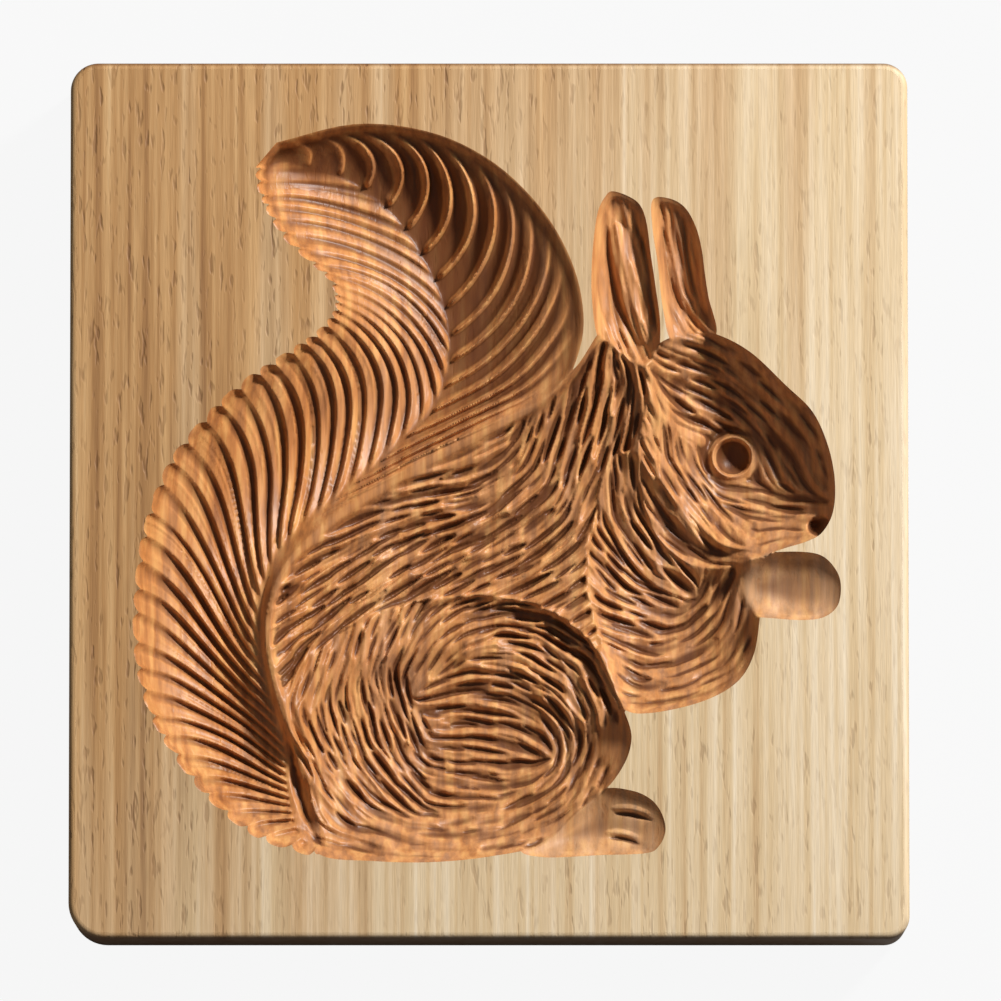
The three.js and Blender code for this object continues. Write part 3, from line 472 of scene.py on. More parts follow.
def fur_paths(limb, layer, allowed, random):
    """The strokes of one layer on one limb: their paths, and how hard each bites. Seeds keep
    their room, more of it the less the fur bites there. Each is traced both ways along the fur,
    and turns only so far from its own heading."""
    length, width = limb["fur"][0] * layer["length"], limb["fur"][1] * layer["width"]
    outline = np.array(limb["outline"])
    seeds = random.uniform(outline.min(0), outline.max(0), (STROKE_TRIES, 2))
    seeds = seeds[allowed(*seeds.T)]
    angles, bites, agreed = fur_lie(limb["comb"], *seeds.T)
    bites = np.maximum(bites, layer["least"]) * np.maximum(agreed, COMBED_LEAST)
    loose = random.uniform(*STROKE_ROOM, len(seeds)) / bites**0.5
    kept = []
    held = np.zeros((0, 2))
    for k, (seed, angle) in enumerate(zip(seeds, angles)):
        reach_along, reach_across = np.array(layer["room"]) * (length, width) * loose[k]
        ahead = (held - seed) @ (math.cos(angle), math.sin(angle)) / reach_along
        aside = (held - seed) @ (-math.sin(angle), math.cos(angle)) / reach_across
        if not len(held) or (ahead**2 + aside**2).min() > 1:
            kept.append(k)
            held = np.vstack([held, seed])
    heading = angles[kept] + random.normal(0, STROKE_SWING, len(kept))
    lengths = length * random.uniform(*STROKE_LENGTHS, len(kept))
    halves = []
    for way in (0, np.pi):
        place = seeds[kept]
        turn = heading + way
        half = [place]
        for _ in range(STROKE_STEPS // 2):
            step = np.stack([np.cos(turn), np.sin(turn)], 1) * (lengths / STROKE_STEPS)[:, None]
            place = place + step
            bend = fur_lie(limb["comb"], *place.T)[0] - heading
            bend = (bend + np.pi / 2) % np.pi - np.pi / 2
            turn = heading + way + np.clip(bend, -STROKE_TURN, STROKE_TURN)
            half.append(place)
        halves.append(half)
    return np.stack(halves[1][:0:-1] + halves[0], 1), bites[kept]


class Grid:
    """A square grid of points over an area, and a margin round it."""

    def __init__(self, area):
        (left, bottom), (right, top) = area.min(0) - MARGIN, area.max(0) + MARGIN
        self.across, self.up = np.arange(left, right, GRID), np.arange(bottom, top, GRID)
        self.x, self.y = np.meshgrid(self.across, self.up)

    def window(self, points, margin=MARGIN):
        """The rows and the columns that hold some points and a margin round them."""
        (left, bottom), (right, top) = points.min(0) - margin, points.max(0) + margin
        return (slice(*np.searchsorted(self.up, (bottom, top))),
                slice(*np.searchsorted(self.across, (left, right))))

    def nearest(self, x, y):
        """The row and the column that are nearest to each point."""
        return tuple(np.clip(np.round((at - line[0]) / GRID).astype(int), 0, len(line) - 1)
                     for at, line in ((y, self.up), (x, self.across)))

    def away_from(self, point):
        """How far each point of the grid lies from one point."""
        return np.hypot(self.x - point[0], self.y - point[1])


def stroke(grid, path, width, strength, power=1.0):
    """One gouge stroke, as a window of the grid and its depth there: a channel whose width and
    depth swell from nothing and shrink to nothing again, and whose section falls off with a
    power of the distance from its middle."""
    place = grid.window(path, width)
    x, y = grid.x[place], grid.y[place]
    nearest = np.full(x.shape, np.inf)
    along = np.zeros(x.shape)
    pieces = len(path) - 1
    for k, (start, end) in enumerate(zip(path[:-1], path[1:])):
        share, off_x, off_y = nearest_on(x, y, start, end)
        gap = np.hypot(off_x, off_y)
        closer = gap < nearest
        nearest = np.where(closer, gap, nearest)
        along = np.where(closer, (k + share) / pieces, along)
    swell = np.maximum(4 * along * (1 - along), 1e-6) ** STROKE_TAPER
    aside = np.clip(nearest / (swell * width / 2), 0, 1)
    return place, (1 - aside**power) * swell * strength


def blurred(field, radius):
    """A field smoothed by a bell-shaped weight, first along its rows and then its columns."""
    reach = math.ceil(BLUR_REACH * radius / GRID)
    weight = np.exp(-0.5 * (np.arange(-reach, reach + 1) * GRID / radius) ** 2)
    weight /= weight.sum()
    for axis in (0, 1):
        edges = [(reach, reach) if k == axis else (0, 0) for k in (0, 1)]
        padded = np.pad(field, edges, mode="edge")
        size = field.shape[axis]
        field = sum(w * np.take(padded, np.arange(k, k + size), axis=axis)
                    for k, w in enumerate(weight))
    return field


def figure_outlines():
    """The closed outline of each limb and of the tail."""
    at = np.linspace(0, 1, RIM_SAMPLES, endpoint=False)
    outlines = {name: curve(limb["outline"], at, closed=True) for name, limb in LIMBS.items()}
    at = np.linspace(0, 1, TAIL_SAMPLES)
    left, right = curve(LEFT_EDGE, at), curve(RIGHT_EDGE, at)
    outlines["tail"] = np.vstack([left, right[::-1]])
    return outlines


def lay_tail(grid, outlines, depth, inside, front):
    """Lays the tail into three maps: the figure's depth, how far a point lies inside its rim, and
    which part is in front. It returns how much painted shade the curl puts on each point."""
    place = grid.window(outlines["tail"])
    x, y = grid.x[place], grid.y[place]
    within, covered = (inside_by(outlines[name], x, y) for name in ("tail", "torso"))
    tail_depth, curl = np.zeros((2, *x.shape))
    edge = within.copy()
    points = np.flatnonzero(within > -MARGIN / 2)
    for few in np.array_split(points, 1 + len(points) // POINTS_AT_ONCE):
        flat = [field.flat[few] for field in (x, y, within, covered)]
        tail_depth.flat[few], edge.flat[few], curl.flat[few] = tail_field(*flat)
    depth[place] = np.where(edge > 0, tail_depth, 0)
    inside[place] = np.maximum(inside[place], edge)
    front[place][within > 0] = "tail"
    shaded = np.zeros(depth.shape)
    shaded[place] = curl
    return shaded


def lay_limb(grid, name, outline, depth, inside, front):
    """Lays a limb into the same three maps. One with a step lies over those behind it: its rim
    steps down, with a low crest along it. Any other one joins them softly: share goes from 0 to 1
    as its own depth passes theirs, and blend times share times (1 - share) is cut away besides."""
    limb = LIMBS[name]
    full_step = limb.get("step", 0)
    place = grid.window(outline)
    x, y = grid.x[place], grid.y[place]
    within = inside_by(outline, x, y)
    own = limb["depth"] * crown(np.where(within > 0, limb_share(limb, x, y), 1))
    step = full_step
    if full_step:
        (ax, ay), (bx, by) = limb["stepping"]
        on_way = (x - ax) * (bx - ax) + (y - ay) * (by - ay)
        step = step * ease(0, (bx - ax) ** 2 + (by - ay) ** 2, on_way)
    over = depth[place] + step * ease(0, STEP_WIDTH, within)
    blend = BLEND * ease(0, BLEND_DEPTH, np.minimum(over, own)) * (full_step == 0)
    share = np.clip(0.5 + 0.5 * (own - over) / np.maximum(blend, 1e-3), 0, 1)
    joined = over + (own - over) * share + blend * share * (1 - share)
    crest = CREST_HEIGHT * (bell(within, CREST_WIDTH) * np.minimum(1, step))
    joined = joined - crest * ease(*CREST_DEPTHS, joined)
    depth[place] = joined
    inside[place] = np.maximum(inside[place], within)
    behind = own + BEHIND < joined
    front[place][(within > 0) & ~(behind & (full_step == 0))] = name


def fur(grid, inside, front):
    """How deep the fur cuts at each point. In a layer the deepest stroke counts, and the layers
    add up. A limb's strokes fade out past the border of what shows of it."""
    random = np.random.default_rng(SEED)
    layers = np.zeros((len(FUR_LAYERS), *grid.x.shape))
    for name, limb in LIMBS.items():
        if "fur" not in limb:
            continue

        def allowed(x, y):
            spot = grid.nearest(x, y)
            return (front[spot] == name) & (inside[spot] > 0)

        spill = FLOWING_SPILL if name in FLOWING else SPILL
        shown = ease(*SPILLED, blurred((front == name).astype(float), spill))
        for layer, strokes in zip(FUR_LAYERS, layers):
            width, strength = limb["fur"][1] * layer["width"], limb["fur"][2] * layer["depth"]
            cuts = np.zeros(grid.x.shape)
            for path, bite in zip(*fur_paths(limb, layer, allowed, random)):
                spread = random.uniform(*STROKE_WIDTHS)
                place, cut = stroke(grid, path, width * spread, strength * spread * bite,
                                    layer["power"])
                np.maximum(cuts[place], cut, out=cuts[place])
            np.maximum(strokes, cuts * shown, out=strokes)
    return layers.sum(axis=0)


def add_details(grid, depth):
    """Cuts the ears' leaf and grooves, the toes, the eye and the nose into the depth. The groove
    round the eye is 0.5 - 0.5 cos of the angle from its lower right, so deepest opposite."""
    cuts = [(curve(points, np.linspace(0, 1, CUT_SAMPLES)), width, strength)
            for points, width, strength in SINGLE_CUTS]
    for path, width, strength in [(np.array(EAR_LEAF[0]), *EAR_LEAF[1:]), *cuts]:
        place, cut = stroke(grid, path, width, strength)
        depth[place] += cut
    eye = grid.away_from(EYE)
    depth += ball_pit(eye, PIT_RADIUS, PIT_DEPTH)
    depth -= LID_HEIGHT * bell(eye - LID_RADIUS, LID_WIDTH)
    turn = np.arctan2(grid.y - EYE[1], grid.x - EYE[0]) + GROOVE_TURN
    depth += GROOVE_DEPTH * bell(eye - GROOVE_RADIUS, GROOVE_WIDTH) * (0.5 - 0.5 * np.cos(turn))
    depth += ball_pit(grid.away_from(NOSE), NOSE_RADIUS, NOSE_DEPTH)


def tint_maps(grid, depth, inside, front, tail, shaded):
    """What the carving's tint goes by. Hollow is painted shade, with some oil in the cuts: how far a
    point lies below the mean round it on a fine and a broad scale, and below 0, painted highlight,
    where it stands above; the curl, deep places and the eye's pit add painted shade to it. Furred
    is how much oil the wood took up."""
    near, far = (blurred(depth, reach) for reach in BROAD_REACHES)
    broad = (near - far) / BROAD_DEPTH * ease(*BROAD_INSIDE, inside)
    hollow = np.clip((depth - blurred(depth, FINE_REACH)) / FINE_DEPTH + broad, -1, 1)
    contrast = sum(share * (front == name) for name, share in CONTRAST.items())
    shaded = blurred(shaded * (front == "tail"), CURL_BLUR)
    hollow = hollow * (1 - TAIL_BORDER * tail * (1 - tail))
    hollow = hollow * (HOLLOW_GAIN + contrast + CURL_GAIN * shaded)
    # Deep places get painted shade
    deep = DEEP_PAINTED_SHADE * (blurred(depth, DEEP_REACH) - DEEP_FROM)
    hollow = hollow + CURL_PAINTED_SHADE * shaded + np.clip(deep, *DEEP_LIMITS)
    hollow = np.where(hollow < 0, hollow * ease(*PALE_INSIDE, inside), hollow)
    # The eye's pit gets full painted shade
    in_pit = ease(PIT_RADIUS, PIT_RADIUS - 1, grid.away_from(EYE))
    furred = blurred(np.where(np.isin(front, BARE_LIMBS), BARE_FURRED, 1.0), FURRED_BLUR)
    return np.stack([np.maximum(hollow, in_pit), furred])


def carve():
    """The carving: its grid, its depth, how far each point lies inside its rim, and the maps
    that its tint goes by."""
    outlines = figure_outlines()
    grid = Grid(np.vstack(list(outlines.values())))
    depth = np.zeros(grid.x.shape)
    inside = np.full(grid.x.shape, -MARGIN)
    front = np.full(grid.x.shape, "", dtype="U10")
    shaded = lay_tail(grid, outlines, depth, inside, front)
    for name in LIMBS:
        lay_limb(grid, name, outlines[name], depth, inside, front)
    smooth = depth + (blurred(depth, LIMB_BLUR) - depth) * ease(*LIMB_BLURRED, inside)
    depth = np.where(front == "tail", depth, smooth)

    tail = blurred((front == "tail").astype(float), TAIL_BARE)
    strokes = fur(grid, inside, front)
    strokes *= ease(*RIM_FURRED, blurred((inside > 0).astype(float), RIM_BARE))
    strokes *= 1 - ease(*TAIL_FURRED, tail)
    strokes *= ease(*KNEE_FURRED, grid.away_from(KNEE) / KNEE[2])
    strokes *= ease(*EYE_CLEARING, grid.away_from(EYE))
    depth = depth + strokes
    add_details(grid, depth)
    depth = depth + (blurred(depth, SOFTENING) - depth) * ease(*SOFTENED, inside)
    depth = np.where(inside > 0, np.maximum(depth, LEAST_DEPTH), 0)
    return grid, depth, inside, tint_maps(grid, depth, inside, front, tail, shaded)


def recess_surface(grid, depth, inside, looks):
    """The recess as triangles. A grid cell is split along the diagonal whose ends differ least in
    depth, so that ridges stay sharp. Points that all but touch the rim move onto it, and
    triangles that cross the rim are cut there."""
    x, y = grid.x, grid.y
    slope_y, slope_x = np.gradient(inside, GRID)
    close = np.abs(inside) < RIM_SNAP * GRID
    steep = np.maximum(slope_x**2 + slope_y**2, SLOPE_LEAST)
    x = np.where(close, x - inside * slope_x / steep, x)
    y = np.where(close, y - inside * slope_y / steep, y)
    inside = np.where(close, 0, inside).ravel()
    z = np.where(inside > 0, -depth.ravel(), 0)

    index = np.arange(x.size).reshape(x.shape)
    a, b, c, d = index[:-1, :-1], index[:-1, 1:], index[1:, 1:], index[1:, :-1]
    rising = (np.abs(z[a] - z[c]) < np.abs(z[b] - z[d]))[..., None]
    first = np.where(rising, np.stack([a, b, c], -1), np.stack([a, b, d], -1))
    second = np.where(rising, np.stack([a, c, d], -1), np.stack([b, c, d], -1))
    faces = np.vstack([first.reshape(-1, 3), second.reshape(-1, 3)])
    faces, cuts = cut_at_rim(faces, inside)

    points = np.stack([x.ravel(), y.ravel(), z], 1)
    above, below = cuts
    share = (inside[above] / (inside[above] - inside[below]))[:, None]
    rim = points[above] + share * (points[below] - points[above])
    rim[:, 2] = 0
    looks = looks.reshape(len(looks), -1)
    points, looks = np.vstack([points, rim]), np.hstack([looks, looks[:, above]])
    used, faces = np.unique(faces, return_inverse=True)
    inside = np.hstack([inside, np.zeros(len(above))])
    return points[used], faces.reshape(-1, 3), looks[:, used], inside[used] > RIM_KEPT


def cut_at_rim(faces, level):
    """The parts of some triangles where a level is above 0. The cuts between a corner above and
    one below are numbered after the points, and given as the points above and those below."""
    sign = np.sign(level[faces])
    whole = faces[(sign >= 0).all(1) & (sign > 0).any(1)]
    crossed = (sign > 0).any(1) & (sign < 0).any(1)
    count = len(level)

    def cut(above, below):
        return count + above * count + below

    def keep(*corners):
        kept.append(np.stack(corners, 1))

    kept = [whole]
    for turn in range(3):
        corners = np.roll(faces[crossed], -turn, axis=1)
        signs = np.roll(sign[crossed], -turn, axis=1)

        def cases(*pattern):
            return corners[(signs == pattern).all(1)].T

        a, b, c = cases(1, -1, -1)
        keep(a, cut(a, b), cut(a, c))
        a, b, c = cases(-1, 1, 1)
        keep(b, c, cut(c, a))
        keep(b, cut(c, a), cut(b, a))
        a, b, c = cases(1, -1, 0)
        keep(a, cut(a, b), c)
        a, b, c = cases(1, 0, -1)
        keep(a, b, cut(a, c))
    kept = np.vstack(kept)
    keys, number = np.unique(kept[kept >= count], return_inverse=True)
    kept[kept >= count] = count + number
    return kept, divmod(keys - count, count)


def linked(name, data):
    """A new object of the scene, with its data."""
    made = bpy.data.objects.new(name, data)
    bpy.context.scene.collection.objects.link(made)
    return made


def read(items, name, kind=float, width=1):
    """One value, or one row of values, for each item of a mesh."""
    values = np.zeros(width * len(items), kind)
    items.foreach_get(name, values)
    return values.reshape(-1, width) if width > 1 else values


def write_looks(mesh, looks):
    for name, look in zip(LOOKS, looks):
        mesh.attributes.new(name, "FLOAT", "POINT").data.foreach_set("value", look)


def thinned(points, faces, looks, free):
    """The same surface with fewer triangles, kept small where it bends most. Only the free
    points, those away from the rim, are merged."""
    mesh = bpy.data.meshes.new("fine_recess")
    mesh.from_pydata(points, [], faces)
    write_looks(mesh, looks)
    fine = linked("fine_recess", mesh)
    fine.vertex_groups.new(name="free").add(np.flatnonzero(free).tolist(), 1, "REPLACE")
    thin = fine.modifiers.new("thin", "DECIMATE")
    thin.ratio = THINNED_TO / len(faces)
    thin.vertex_group = "free"
    thin = fine.evaluated_get(bpy.context.evaluated_depsgraph_get()).to_mesh()
    points, corners = read(thin.vertices, "co", width=3), read(thin.loops, "vertex_index", int)
    looks = [read(thin.attributes[name].data, "value") for name in LOOKS]
    bpy.data.objects.remove(fine)
    bpy.data.meshes.remove(mesh)
    return points, corners.reshape(-1, 3), looks


def rim_loops(faces):
    """The edges that only one triangle has, as [start, end] pairs in the triangle's order."""
    edges = np.vstack([faces[:, [0, 1]], faces[:, [1, 2]], faces[:, [2, 0]]])
    key = np.sort(edges, axis=1)
    _, first, count = np.unique(key, axis=0, return_index=True, return_counts=True)
    return edges[first[count == 1]]


def flat_face(points, outer, rim):
    """The flat face as triangles between the board's outline and the recess's rim. The plane is
    split into triangles that keep both, and those stay that are reached from the outline with
    the rim crossed an even number of times."""
    ids = np.hstack([np.unique(rim), outer])
    place = {v: k for k, v in enumerate(ids)}
    outline = [*zip(outer, np.roll(outer, -1))]
    edges = [(place[a], place[b]) for a, b in [*outline, *rim]]
    made = delaunay_2d_cdt([Vector(points[v, :2]) for v in ids], edges, [], 0, JOINED)
    origin = np.array([ids[found[0]] if found else -1 for found in made[3]])
    triangles = origin[np.array(made[2])]

    sides = {}
    borders = [[frozenset(edge) for edge in ((a, b), (b, c), (c, a))] for a, b, c in triangles]
    for k, border in enumerate(borders):
        for edge in border:
            sides.setdefault(edge, []).append(k)
    walls = {frozenset(edge) for edge in rim}
    crossings = {k: 0 for edge in outline for k in sides[frozenset(edge)]}
    ahead = list(crossings)
    while ahead:
        here = ahead.pop()
        for edge in borders[here]:
            for fresh in sides[edge]:
                if fresh not in crossings:
                    crossings[fresh] = crossings[here] + (edge in walls)
                    ahead.append(fresh)
    return triangles[[k for k in sorted(crossings) if crossings[k] % 2 == 0]]


def rounded_rectangle(low, high, inset):
    """The board's outline, inset from its sides: four corner arcs, joined by sides with a point
    every few millimetres. Every inset has as many points."""
    (left, bottom), (right, top) = low, high
    corners = [(right, top, 1, 1), (left, top, -1, 1), (left, bottom, -1, -1), (right, bottom, 1, -1)]
    points = []
    for quarter, (radius, (x, y, way_x, way_y)) in enumerate(zip(CORNER_RADII, corners)):
        centre = np.array([x - radius * way_x, y - radius * way_y])
        turn = (quarter + np.linspace(0, 1, CORNER_STEPS + 1)) * np.pi / 2
        points.append(centre + (radius - inset) * np.stack([np.cos(turn), np.sin(turn)], 1))
    joined = []
    for k, arc in enumerate(points):
        joined.append(arc)
        start, end = arc[-1], points[(k + 1) % 4][0]
        span = (right - left) if k % 2 == 0 else (top - bottom)
        steps = int(span / SIDE_STEP)
        joined.append(start + (end - start) * (np.arange(1, steps) / steps)[:, None])
    return np.vstack(joined)


def board_edges(low, high, thickness):
    """The board's sides, as rings: each an outline at its inset and depth, down the quarter
    circle of the top edge, the side, and the quarter circle of the bottom edge."""
    turn = np.linspace(0, np.pi / 2, ROUND_STEPS + 1)
    insets, falls = EDGE_ROUND * (1 - np.sin(turn)), EDGE_ROUND * (1 - np.cos(turn))
    levels = [*zip(insets, falls), *zip(insets[::-1], thickness - falls[::-1])]
    return [np.insert(rounded_rectangle(low, high, inset), 2, -fall, axis=1)
            for inset, fall in levels]


def build_mould():
    """The mould as one closed mesh: the recess, the flat face round it, the sides and the back."""
    recess, recess_faces, looks = thinned(*recess_surface(*carve()))
    low, high = (np.array(corner) / MM for corner in cad_box)
    outlines = np.vstack(list(figure_outlines().values()))
    shift = np.array([low[0] + LEFT_MARGIN, low[1] + BOTTOM_MARGIN]) - outlines.min(0)
    rings = board_edges(low[:2] - shift, high[:2] - shift, high[2] - low[2])
    points = np.vstack([recess, *rings])

    around = np.arange(len(rings[0]))
    starts = len(recess) + np.arange(len(rings)) * len(around)
    ahead = np.roll(around, -1)
    sides = np.vstack([np.stack([start + around, below + around, below + ahead, start + ahead], 1)
                       for start, below in zip(starts[:-1], starts[1:])])
    rim = rim_loops(recess_faces)
    parts = [(recess_faces, True), (flat_face(points, starts[0] + around, rim), False),
             (sides, True), ((starts[-1] + around[::-1])[None], False)]
    sizes = np.hstack([np.full(len(faces), faces.shape[1]) for faces, _ in parts])
    smooth = np.hstack([np.full(len(faces), rounded) for faces, rounded in parts])

    mesh = bpy.data.meshes.new("mould")
    mesh.vertices.add(len(points))
    placed = np.column_stack([points[:, :2] + shift, points[:, 2] + high[2]]) * MM
    mesh.vertices.foreach_set("co", placed.ravel())
    mesh.loops.add(sizes.sum())
    mesh.loops.foreach_set("vertex_index", np.hstack([faces.ravel() for faces, _ in parts]))
    mesh.polygons.add(len(sizes))
    mesh.polygons.foreach_set("loop_start", np.cumsum(sizes) - sizes)
    mesh.polygons.foreach_set("use_smooth", smooth)
    carved = np.arange(len(sizes)) < len(recess_faces)
    mesh.polygons.foreach_set("material_index", carved.astype(int))
    mesh.update(calc_edges=True)
    mesh.validate()

    on_rim = np.isin(np.arange(len(points)), rim)
    sharp = on_rim[read(mesh.edges, "vertices", int, 2)].all(1)
    mesh.edges.foreach_set("use_edge_sharp", sharp)
    write_looks(mesh, [np.pad(look, (0, len(points) - len(look))) for look in looks])
    return linked("carved_board", mesh)


class Shader:
    """The nodes of a material or a world, with one short call for each."""

    def __init__(self, owner):
        self.owner = owner
        owner.use_nodes = True
        self.nodes, self.links = owner.node_tree.nodes, owner.node_tree.links
        self.nodes.clear()

    def add(self, kind, inputs=(), output=0, **settings):
        """Adds a node, links or sets its inputs, and returns one of its outputs."""
        made = self.nodes.new("ShaderNode" + kind)
        for key, value in settings.items():
            setattr(made, key, value)
        for key, value in dict(inputs).items():
            if isinstance(value, bpy.types.NodeSocket):
                self.links.new(value, made.inputs[key])
            else:
                made.inputs[key].default_value = value
        return made.outputs[output] if made.outputs else None

    def math(self, operation, *values):
        return self.add("Math", dict(enumerate(values)), operation=operation)

    def times(self, first, second):
        return self.math("MULTIPLY", first, second)

    def axis(self, vector, name):
        return self.add("SeparateXYZ", {"Vector": vector}, name)

    def span(self, value, low, high):
        """0 at low and 1 at high, straight between them."""
        return self.add("MapRange", {"Value": value, "From Min": low, "From Max": high})

    def ramp(self, value, stops):
        """value mapped through (place, shade) stops."""
        made = self.add("ValToRGB", {"Fac": value})
        elements = made.node.color_ramp.elements
        while len(elements) < len(stops):
            elements.new(0.5)
        for element, (place, stop) in zip(elements, stops):
            element.position = place
            element.color = shade(stop)
        return made

    def mix(self, share, first, second, blend="MIX"):
        return self.add("Mix", {0: share, 6: first, 7: second}, 2, data_type="RGBA",
                        blend_type=blend)

    def noise(self, place, name):
        """One of the grain's noises, at a place in millimetres."""
        stretch, scale, detail, offset = NOISES[name]
        place = self.add("Mapping", {"Vector": place, "Scale": stretch, "Location": offset})
        return self.add("TexNoise", {"Vector": place, "Scale": scale, "Detail": detail}, "Fac")


def shade(value):
    """A colour as a shader takes it: a grey from one linear number, or else red, green and blue
    as they show, 0 to 255, made linear by the usual curve."""
    if not isinstance(value, tuple):
        return (value, value, value, 1.0)
    shown = [c / 255 for c in value]
    return tuple(c / 12.92 if c <= 0.04045 else ((c + 0.055) / 1.055) ** 2.4
                 for c in shown) + (1.0,)


# The noises of the grain, which runs along Y: how far each millimetre counts along X, Y and Z,
# scale, detail and offset
NOISES = {
    "broad": ((1, 0.01, 0.35), 0.16, 2, (0, 0, 0)),
    "bands": ((1, 0.012, 0.4), 0.55, 2, (7, 3, 1)),
    "streaks": ((1, 0.02, 0.5), 1.7, 2, (3, 9, 4)),
    "fibre": ((1, 0.045, 1), 4.5, 2, (5, 1, 8)),
    "dashes": ((1, 0.2, 1), 1.5, 1, (2, 6, 3)),
    "stripes": ((1, 0.1, 0.6), 0.75, 3, (1, 2, 9)),
}

# The wood's colours as they show, from its dark bands to its pale ones, and how it is finished.
# Its relief is in metres, and FIBRE is what the fibres count for in it beside the pores.
BROWN_WOOD = [(0.3, (140, 96, 56)), (0.45, (180, 134, 84)), (0.6, (204, 160, 108)),
              (0.75, (222, 186, 138))]
PALE_WOOD = [(0.3, (198, 164, 120)), (0.45, (216, 188, 146)), (0.58, (227, 203, 167)),
             (0.72, (238, 220, 192))]
OILED_WOOD = [(0.32, (154, 92, 50)), (0.5, (198, 125, 66)), (0.68, (225, 160, 92))]
PORE, END_GRAIN = (118, 78, 46), (104, 66, 40)
# Painted shade with some oil for the cuts' bottoms, painted highlight with some wear for ridges
CUT_SHADE_AND_OIL, RIDGE_WEAR_AND_HIGHLIGHT = (84, 42, 21), (254, 208, 142)
RELIEF, FIBRE = 0.0002, 0.35
PLANED = {"rough": 0.56, "gloss": 0.35, "relief": 1.0, "strength": 0.45}
OILED = {"rough": 0.42, "gloss": 0.3, "relief": 0.5, "strength": 0.4}


def grain(s, place):
    """The bare colour of the wood, how open its pores and how raised its fibres are: bands and
    narrow streaks, dark dashes of pores that crowd in the bands' early wood, and fine fibre,
    multiplied in. The board is browner at the top left than elsewhere."""
    bands, fibre = s.noise(place, "bands"), s.noise(place, "fibre")
    slanted = s.math("SUBTRACT", s.axis(place, "X"), s.times(s.axis(place, "Y"), 0.5))
    rightward = s.span(slanted, -70.0, 65.0)
    figure = s.math("ADD", s.times(bands, 0.72), s.times(s.noise(place, "streaks"), 0.28))
    drift = s.times(s.math("SUBTRACT", s.noise(place, "broad"), 0.5), 1.1)
    turn = s.ramp(s.math("ADD", rightward, drift), [(0.1, 0), (0.75, 1)])
    tint = s.mix(turn, s.ramp(figure, BROWN_WOOD), s.ramp(figure, PALE_WOOD))

    crowd = s.ramp(bands, [(0.38, 1), (0.58, 0.4)])
    thin = s.ramp(rightward, [(0.25, 1), (0.55, 0.25), (0.85, 0.5)])
    pores = s.ramp(s.noise(place, "dashes"), [(0.58, 0), (0.72, 1)])
    pores = s.times(s.times(pores, crowd), thin)
    tint = s.mix(s.times(pores, 0.6), tint, shade(PORE))
    hair = s.ramp(fibre, [(0.35, 0.92), (0.65, 1.04)])
    return s.mix(1.0, tint, hair, "MULTIPLY"), pores, fibre


def wood(name, dressed, rough, gloss, relief, strength):
    """A material of wood. dressed gives its tint from the bare one. Its relief is a share of how
    raised the fibres are, less how open the pores are."""
    s = Shader(bpy.data.materials.new(name))
    spot = s.add("TexCoord", output="Object")
    place = s.add("Mapping", {"Vector": spot, "Scale": (1 / MM, 1 / MM, 1 / MM)})
    tint, pores, fibre = grain(s, place)
    height = s.times(s.math("SUBTRACT", s.times(fibre, FIBRE), pores), relief)
    bump = s.add("Bump", {"Height": height, "Strength": strength, "Distance": RELIEF})
    surface = s.add("BsdfPrincipled", {
        "Base Color": dressed(s, place, tint), "Roughness": rough,
        "Specular IOR Level": gloss, "Normal": bump})
    s.add("OutputMaterial", {"Surface": surface})
    return s.owner


def planed(s, place, tint):
    """The board's face and sides are planed, sanded and hardly oiled. The grain ends at the sides
    that face along Y, where the wood has soaked up oil and dirt and is dark."""
    facing = s.axis(s.add("TexCoord", output="Normal"), "Y")
    ends = s.span(s.math("ABSOLUTE", facing), 0.35, 0.9)
    return s.mix(s.times(ends, 0.8), tint, shade(END_GRAIN))


def oiled(s, place, tint):
    """Cut wood takes up more oil, so the carving is browner and glossier than the face. By the hollow
    map the bottoms of the cuts get painted shade with some oil, and the ridges painted highlight with
    some wear."""
    oil = s.ramp(s.noise(place, "stripes"), OILED_WOOD)
    furred, hollow = (s.add("Attribute", output="Fac", attribute_name=name)
                      for name in ("furred", "hollow"))
    tint = s.mix(s.math("ADD", s.times(furred, 0.54), 0.28), tint, oil)
    # Painted shade in the hollows, then painted highlight on what stands high
    tint = s.mix(s.times(s.span(hollow, 0.1, 0.75), 0.82), tint, shade(CUT_SHADE_AND_OIL))
    return s.mix(s.times(s.span(hollow, -0.05, -0.45), 0.8), tint, shade(RIDGE_WEAR_AND_HIGHLIGHT))


def pale_floor(size):
    """A pale floor that shows nearly white to the camera and keeps the object's shadow."""
    s = Shader(bpy.data.materials.new("floor_paper"))
    plain = s.add("BsdfDiffuse", {"Color": shade(0.25)})
    bright = s.add("Emission", {"Color": shade(1), "Strength": 1.0})
    share = s.times(s.add("LightPath", output="Is Camera Ray"), 0.92)
    surface = s.add("MixShader", {0: share, 1: plain, 2: bright})
    s.add("OutputMaterial", {"Surface": surface})
    mesh = bpy.data.meshes.new("floor")
    mesh.from_pydata([(-size, -size, 0), (size, -size, 0), (size, size, 0), (-size, size, 0)],
                     [], [(0, 1, 2, 3)])
    mesh.materials.append(s.owner)
    linked("floor", mesh)


# The photograph: millimetres of the face to a pixel, its pixels, and the board's middle in it
PIXEL, PICTURE, BOARD_MIDDLE = 0.15476, 1001, (489, 499.5)

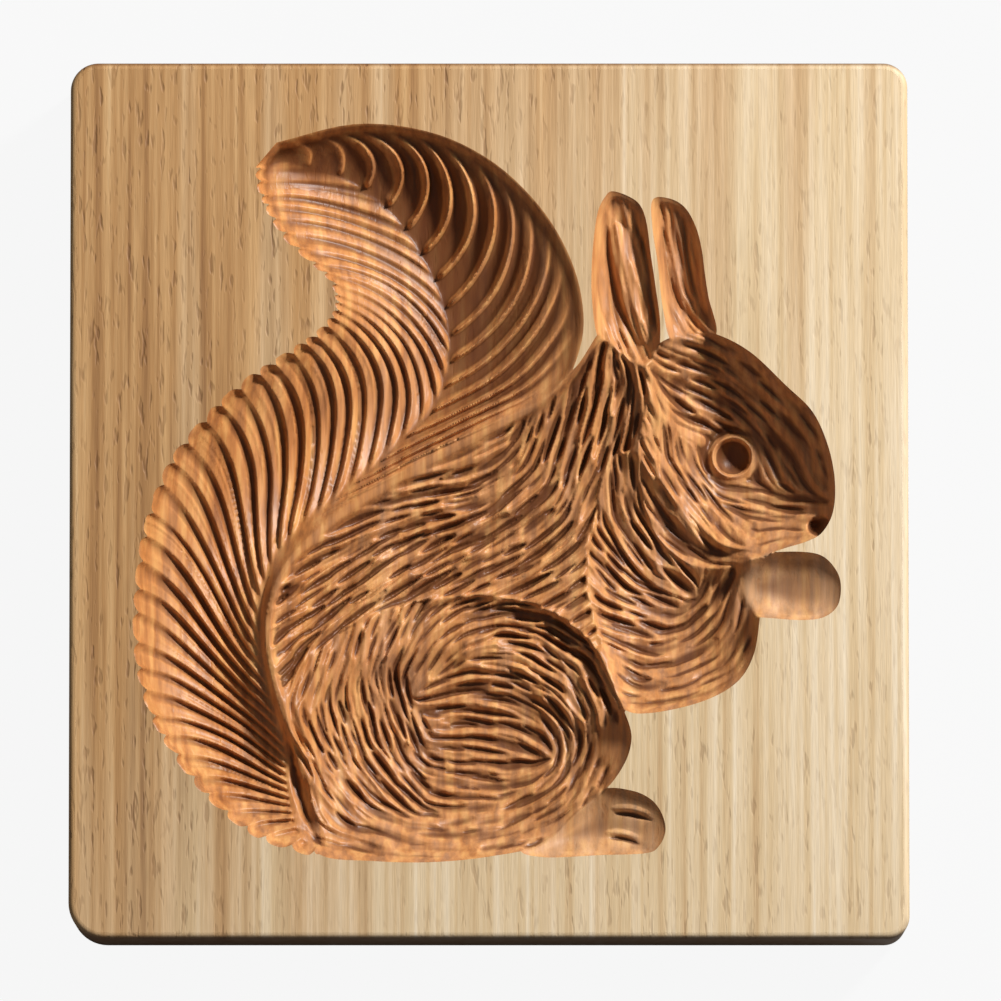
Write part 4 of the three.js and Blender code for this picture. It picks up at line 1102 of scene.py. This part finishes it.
# Camera and lamp: azimuth from +X towards +Y, elevation above the floor, and distance. Sizes and
# distances are metres here.
CAMERA_PLACE, SENSOR, FAR_AWAY = (-90, 85.0, 2.0), 36.0, 20
LAMP_PLACE, LAMP_SIZE, LAMP_POWER = (42, 38, 1.1), 0.12, 17.8
SKY_LIGHT, FLOOR_SIZE = 0.12, 3.0


def aim(name, data, target, azimuth, elevation, distance):
    """Places a lamp or a camera that looks at a target."""
    a, e = math.radians(azimuth), math.radians(elevation)
    away = Vector((math.cos(a) * math.cos(e), math.sin(a) * math.cos(e), math.sin(e)))
    made = linked(name, data)
    made.location = target + away * distance
    made.rotation_euler = (target - made.location).to_track_quat("-Z", "Y").to_euler()
    return made


def add_camera():
    data = bpy.data.cameras.new("camera")
    data.sensor_width = SENSOR
    data.lens = SENSOR * CAMERA_PLACE[2] / (PICTURE * PIXEL * MM)
    data.clip_end = FAR_AWAY
    middle = Vector(((PICTURE / 2 - BOARD_MIDDLE[0]) * PIXEL * MM,
                     (BOARD_MIDDLE[1] - PICTURE / 2) * PIXEL * MM, cad_box[1].z))
    bpy.context.scene.camera = aim("camera", data, middle, *CAMERA_PLACE)


def add_lamp():
    data = bpy.data.lights.new("key", "AREA")
    data.size = LAMP_SIZE
    data.energy = LAMP_POWER
    aim("key", data, (cad_box[0] + cad_box[1]) / 2, *LAMP_PLACE)


def add_world(light):
    """Soft light from all round, and white where the camera sees past the floor."""
    world = bpy.data.worlds.new("studio")
    bpy.context.scene.world = world
    s = Shader(world)
    seen = s.add("LightPath", output="Is Camera Ray")
    strength = s.math("MULTIPLY_ADD", seen, 1 - light, light)
    back = s.add("Background", {"Color": shade(1), "Strength": strength})
    s.add("OutputWorld", {"Surface": back})


board = build_mould()
board.data.materials.append(wood("planed_wood", planed, **PLANED))
board.data.materials.append(wood("carved_wood", oiled, **OILED))
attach(board, "root")
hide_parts("mould_board")

pale_floor(FLOOR_SIZE)
add_world(SKY_LIGHT)
add_lamp()
add_camera()
bpy.context.scene.view_settings.view_transform = "Standard"
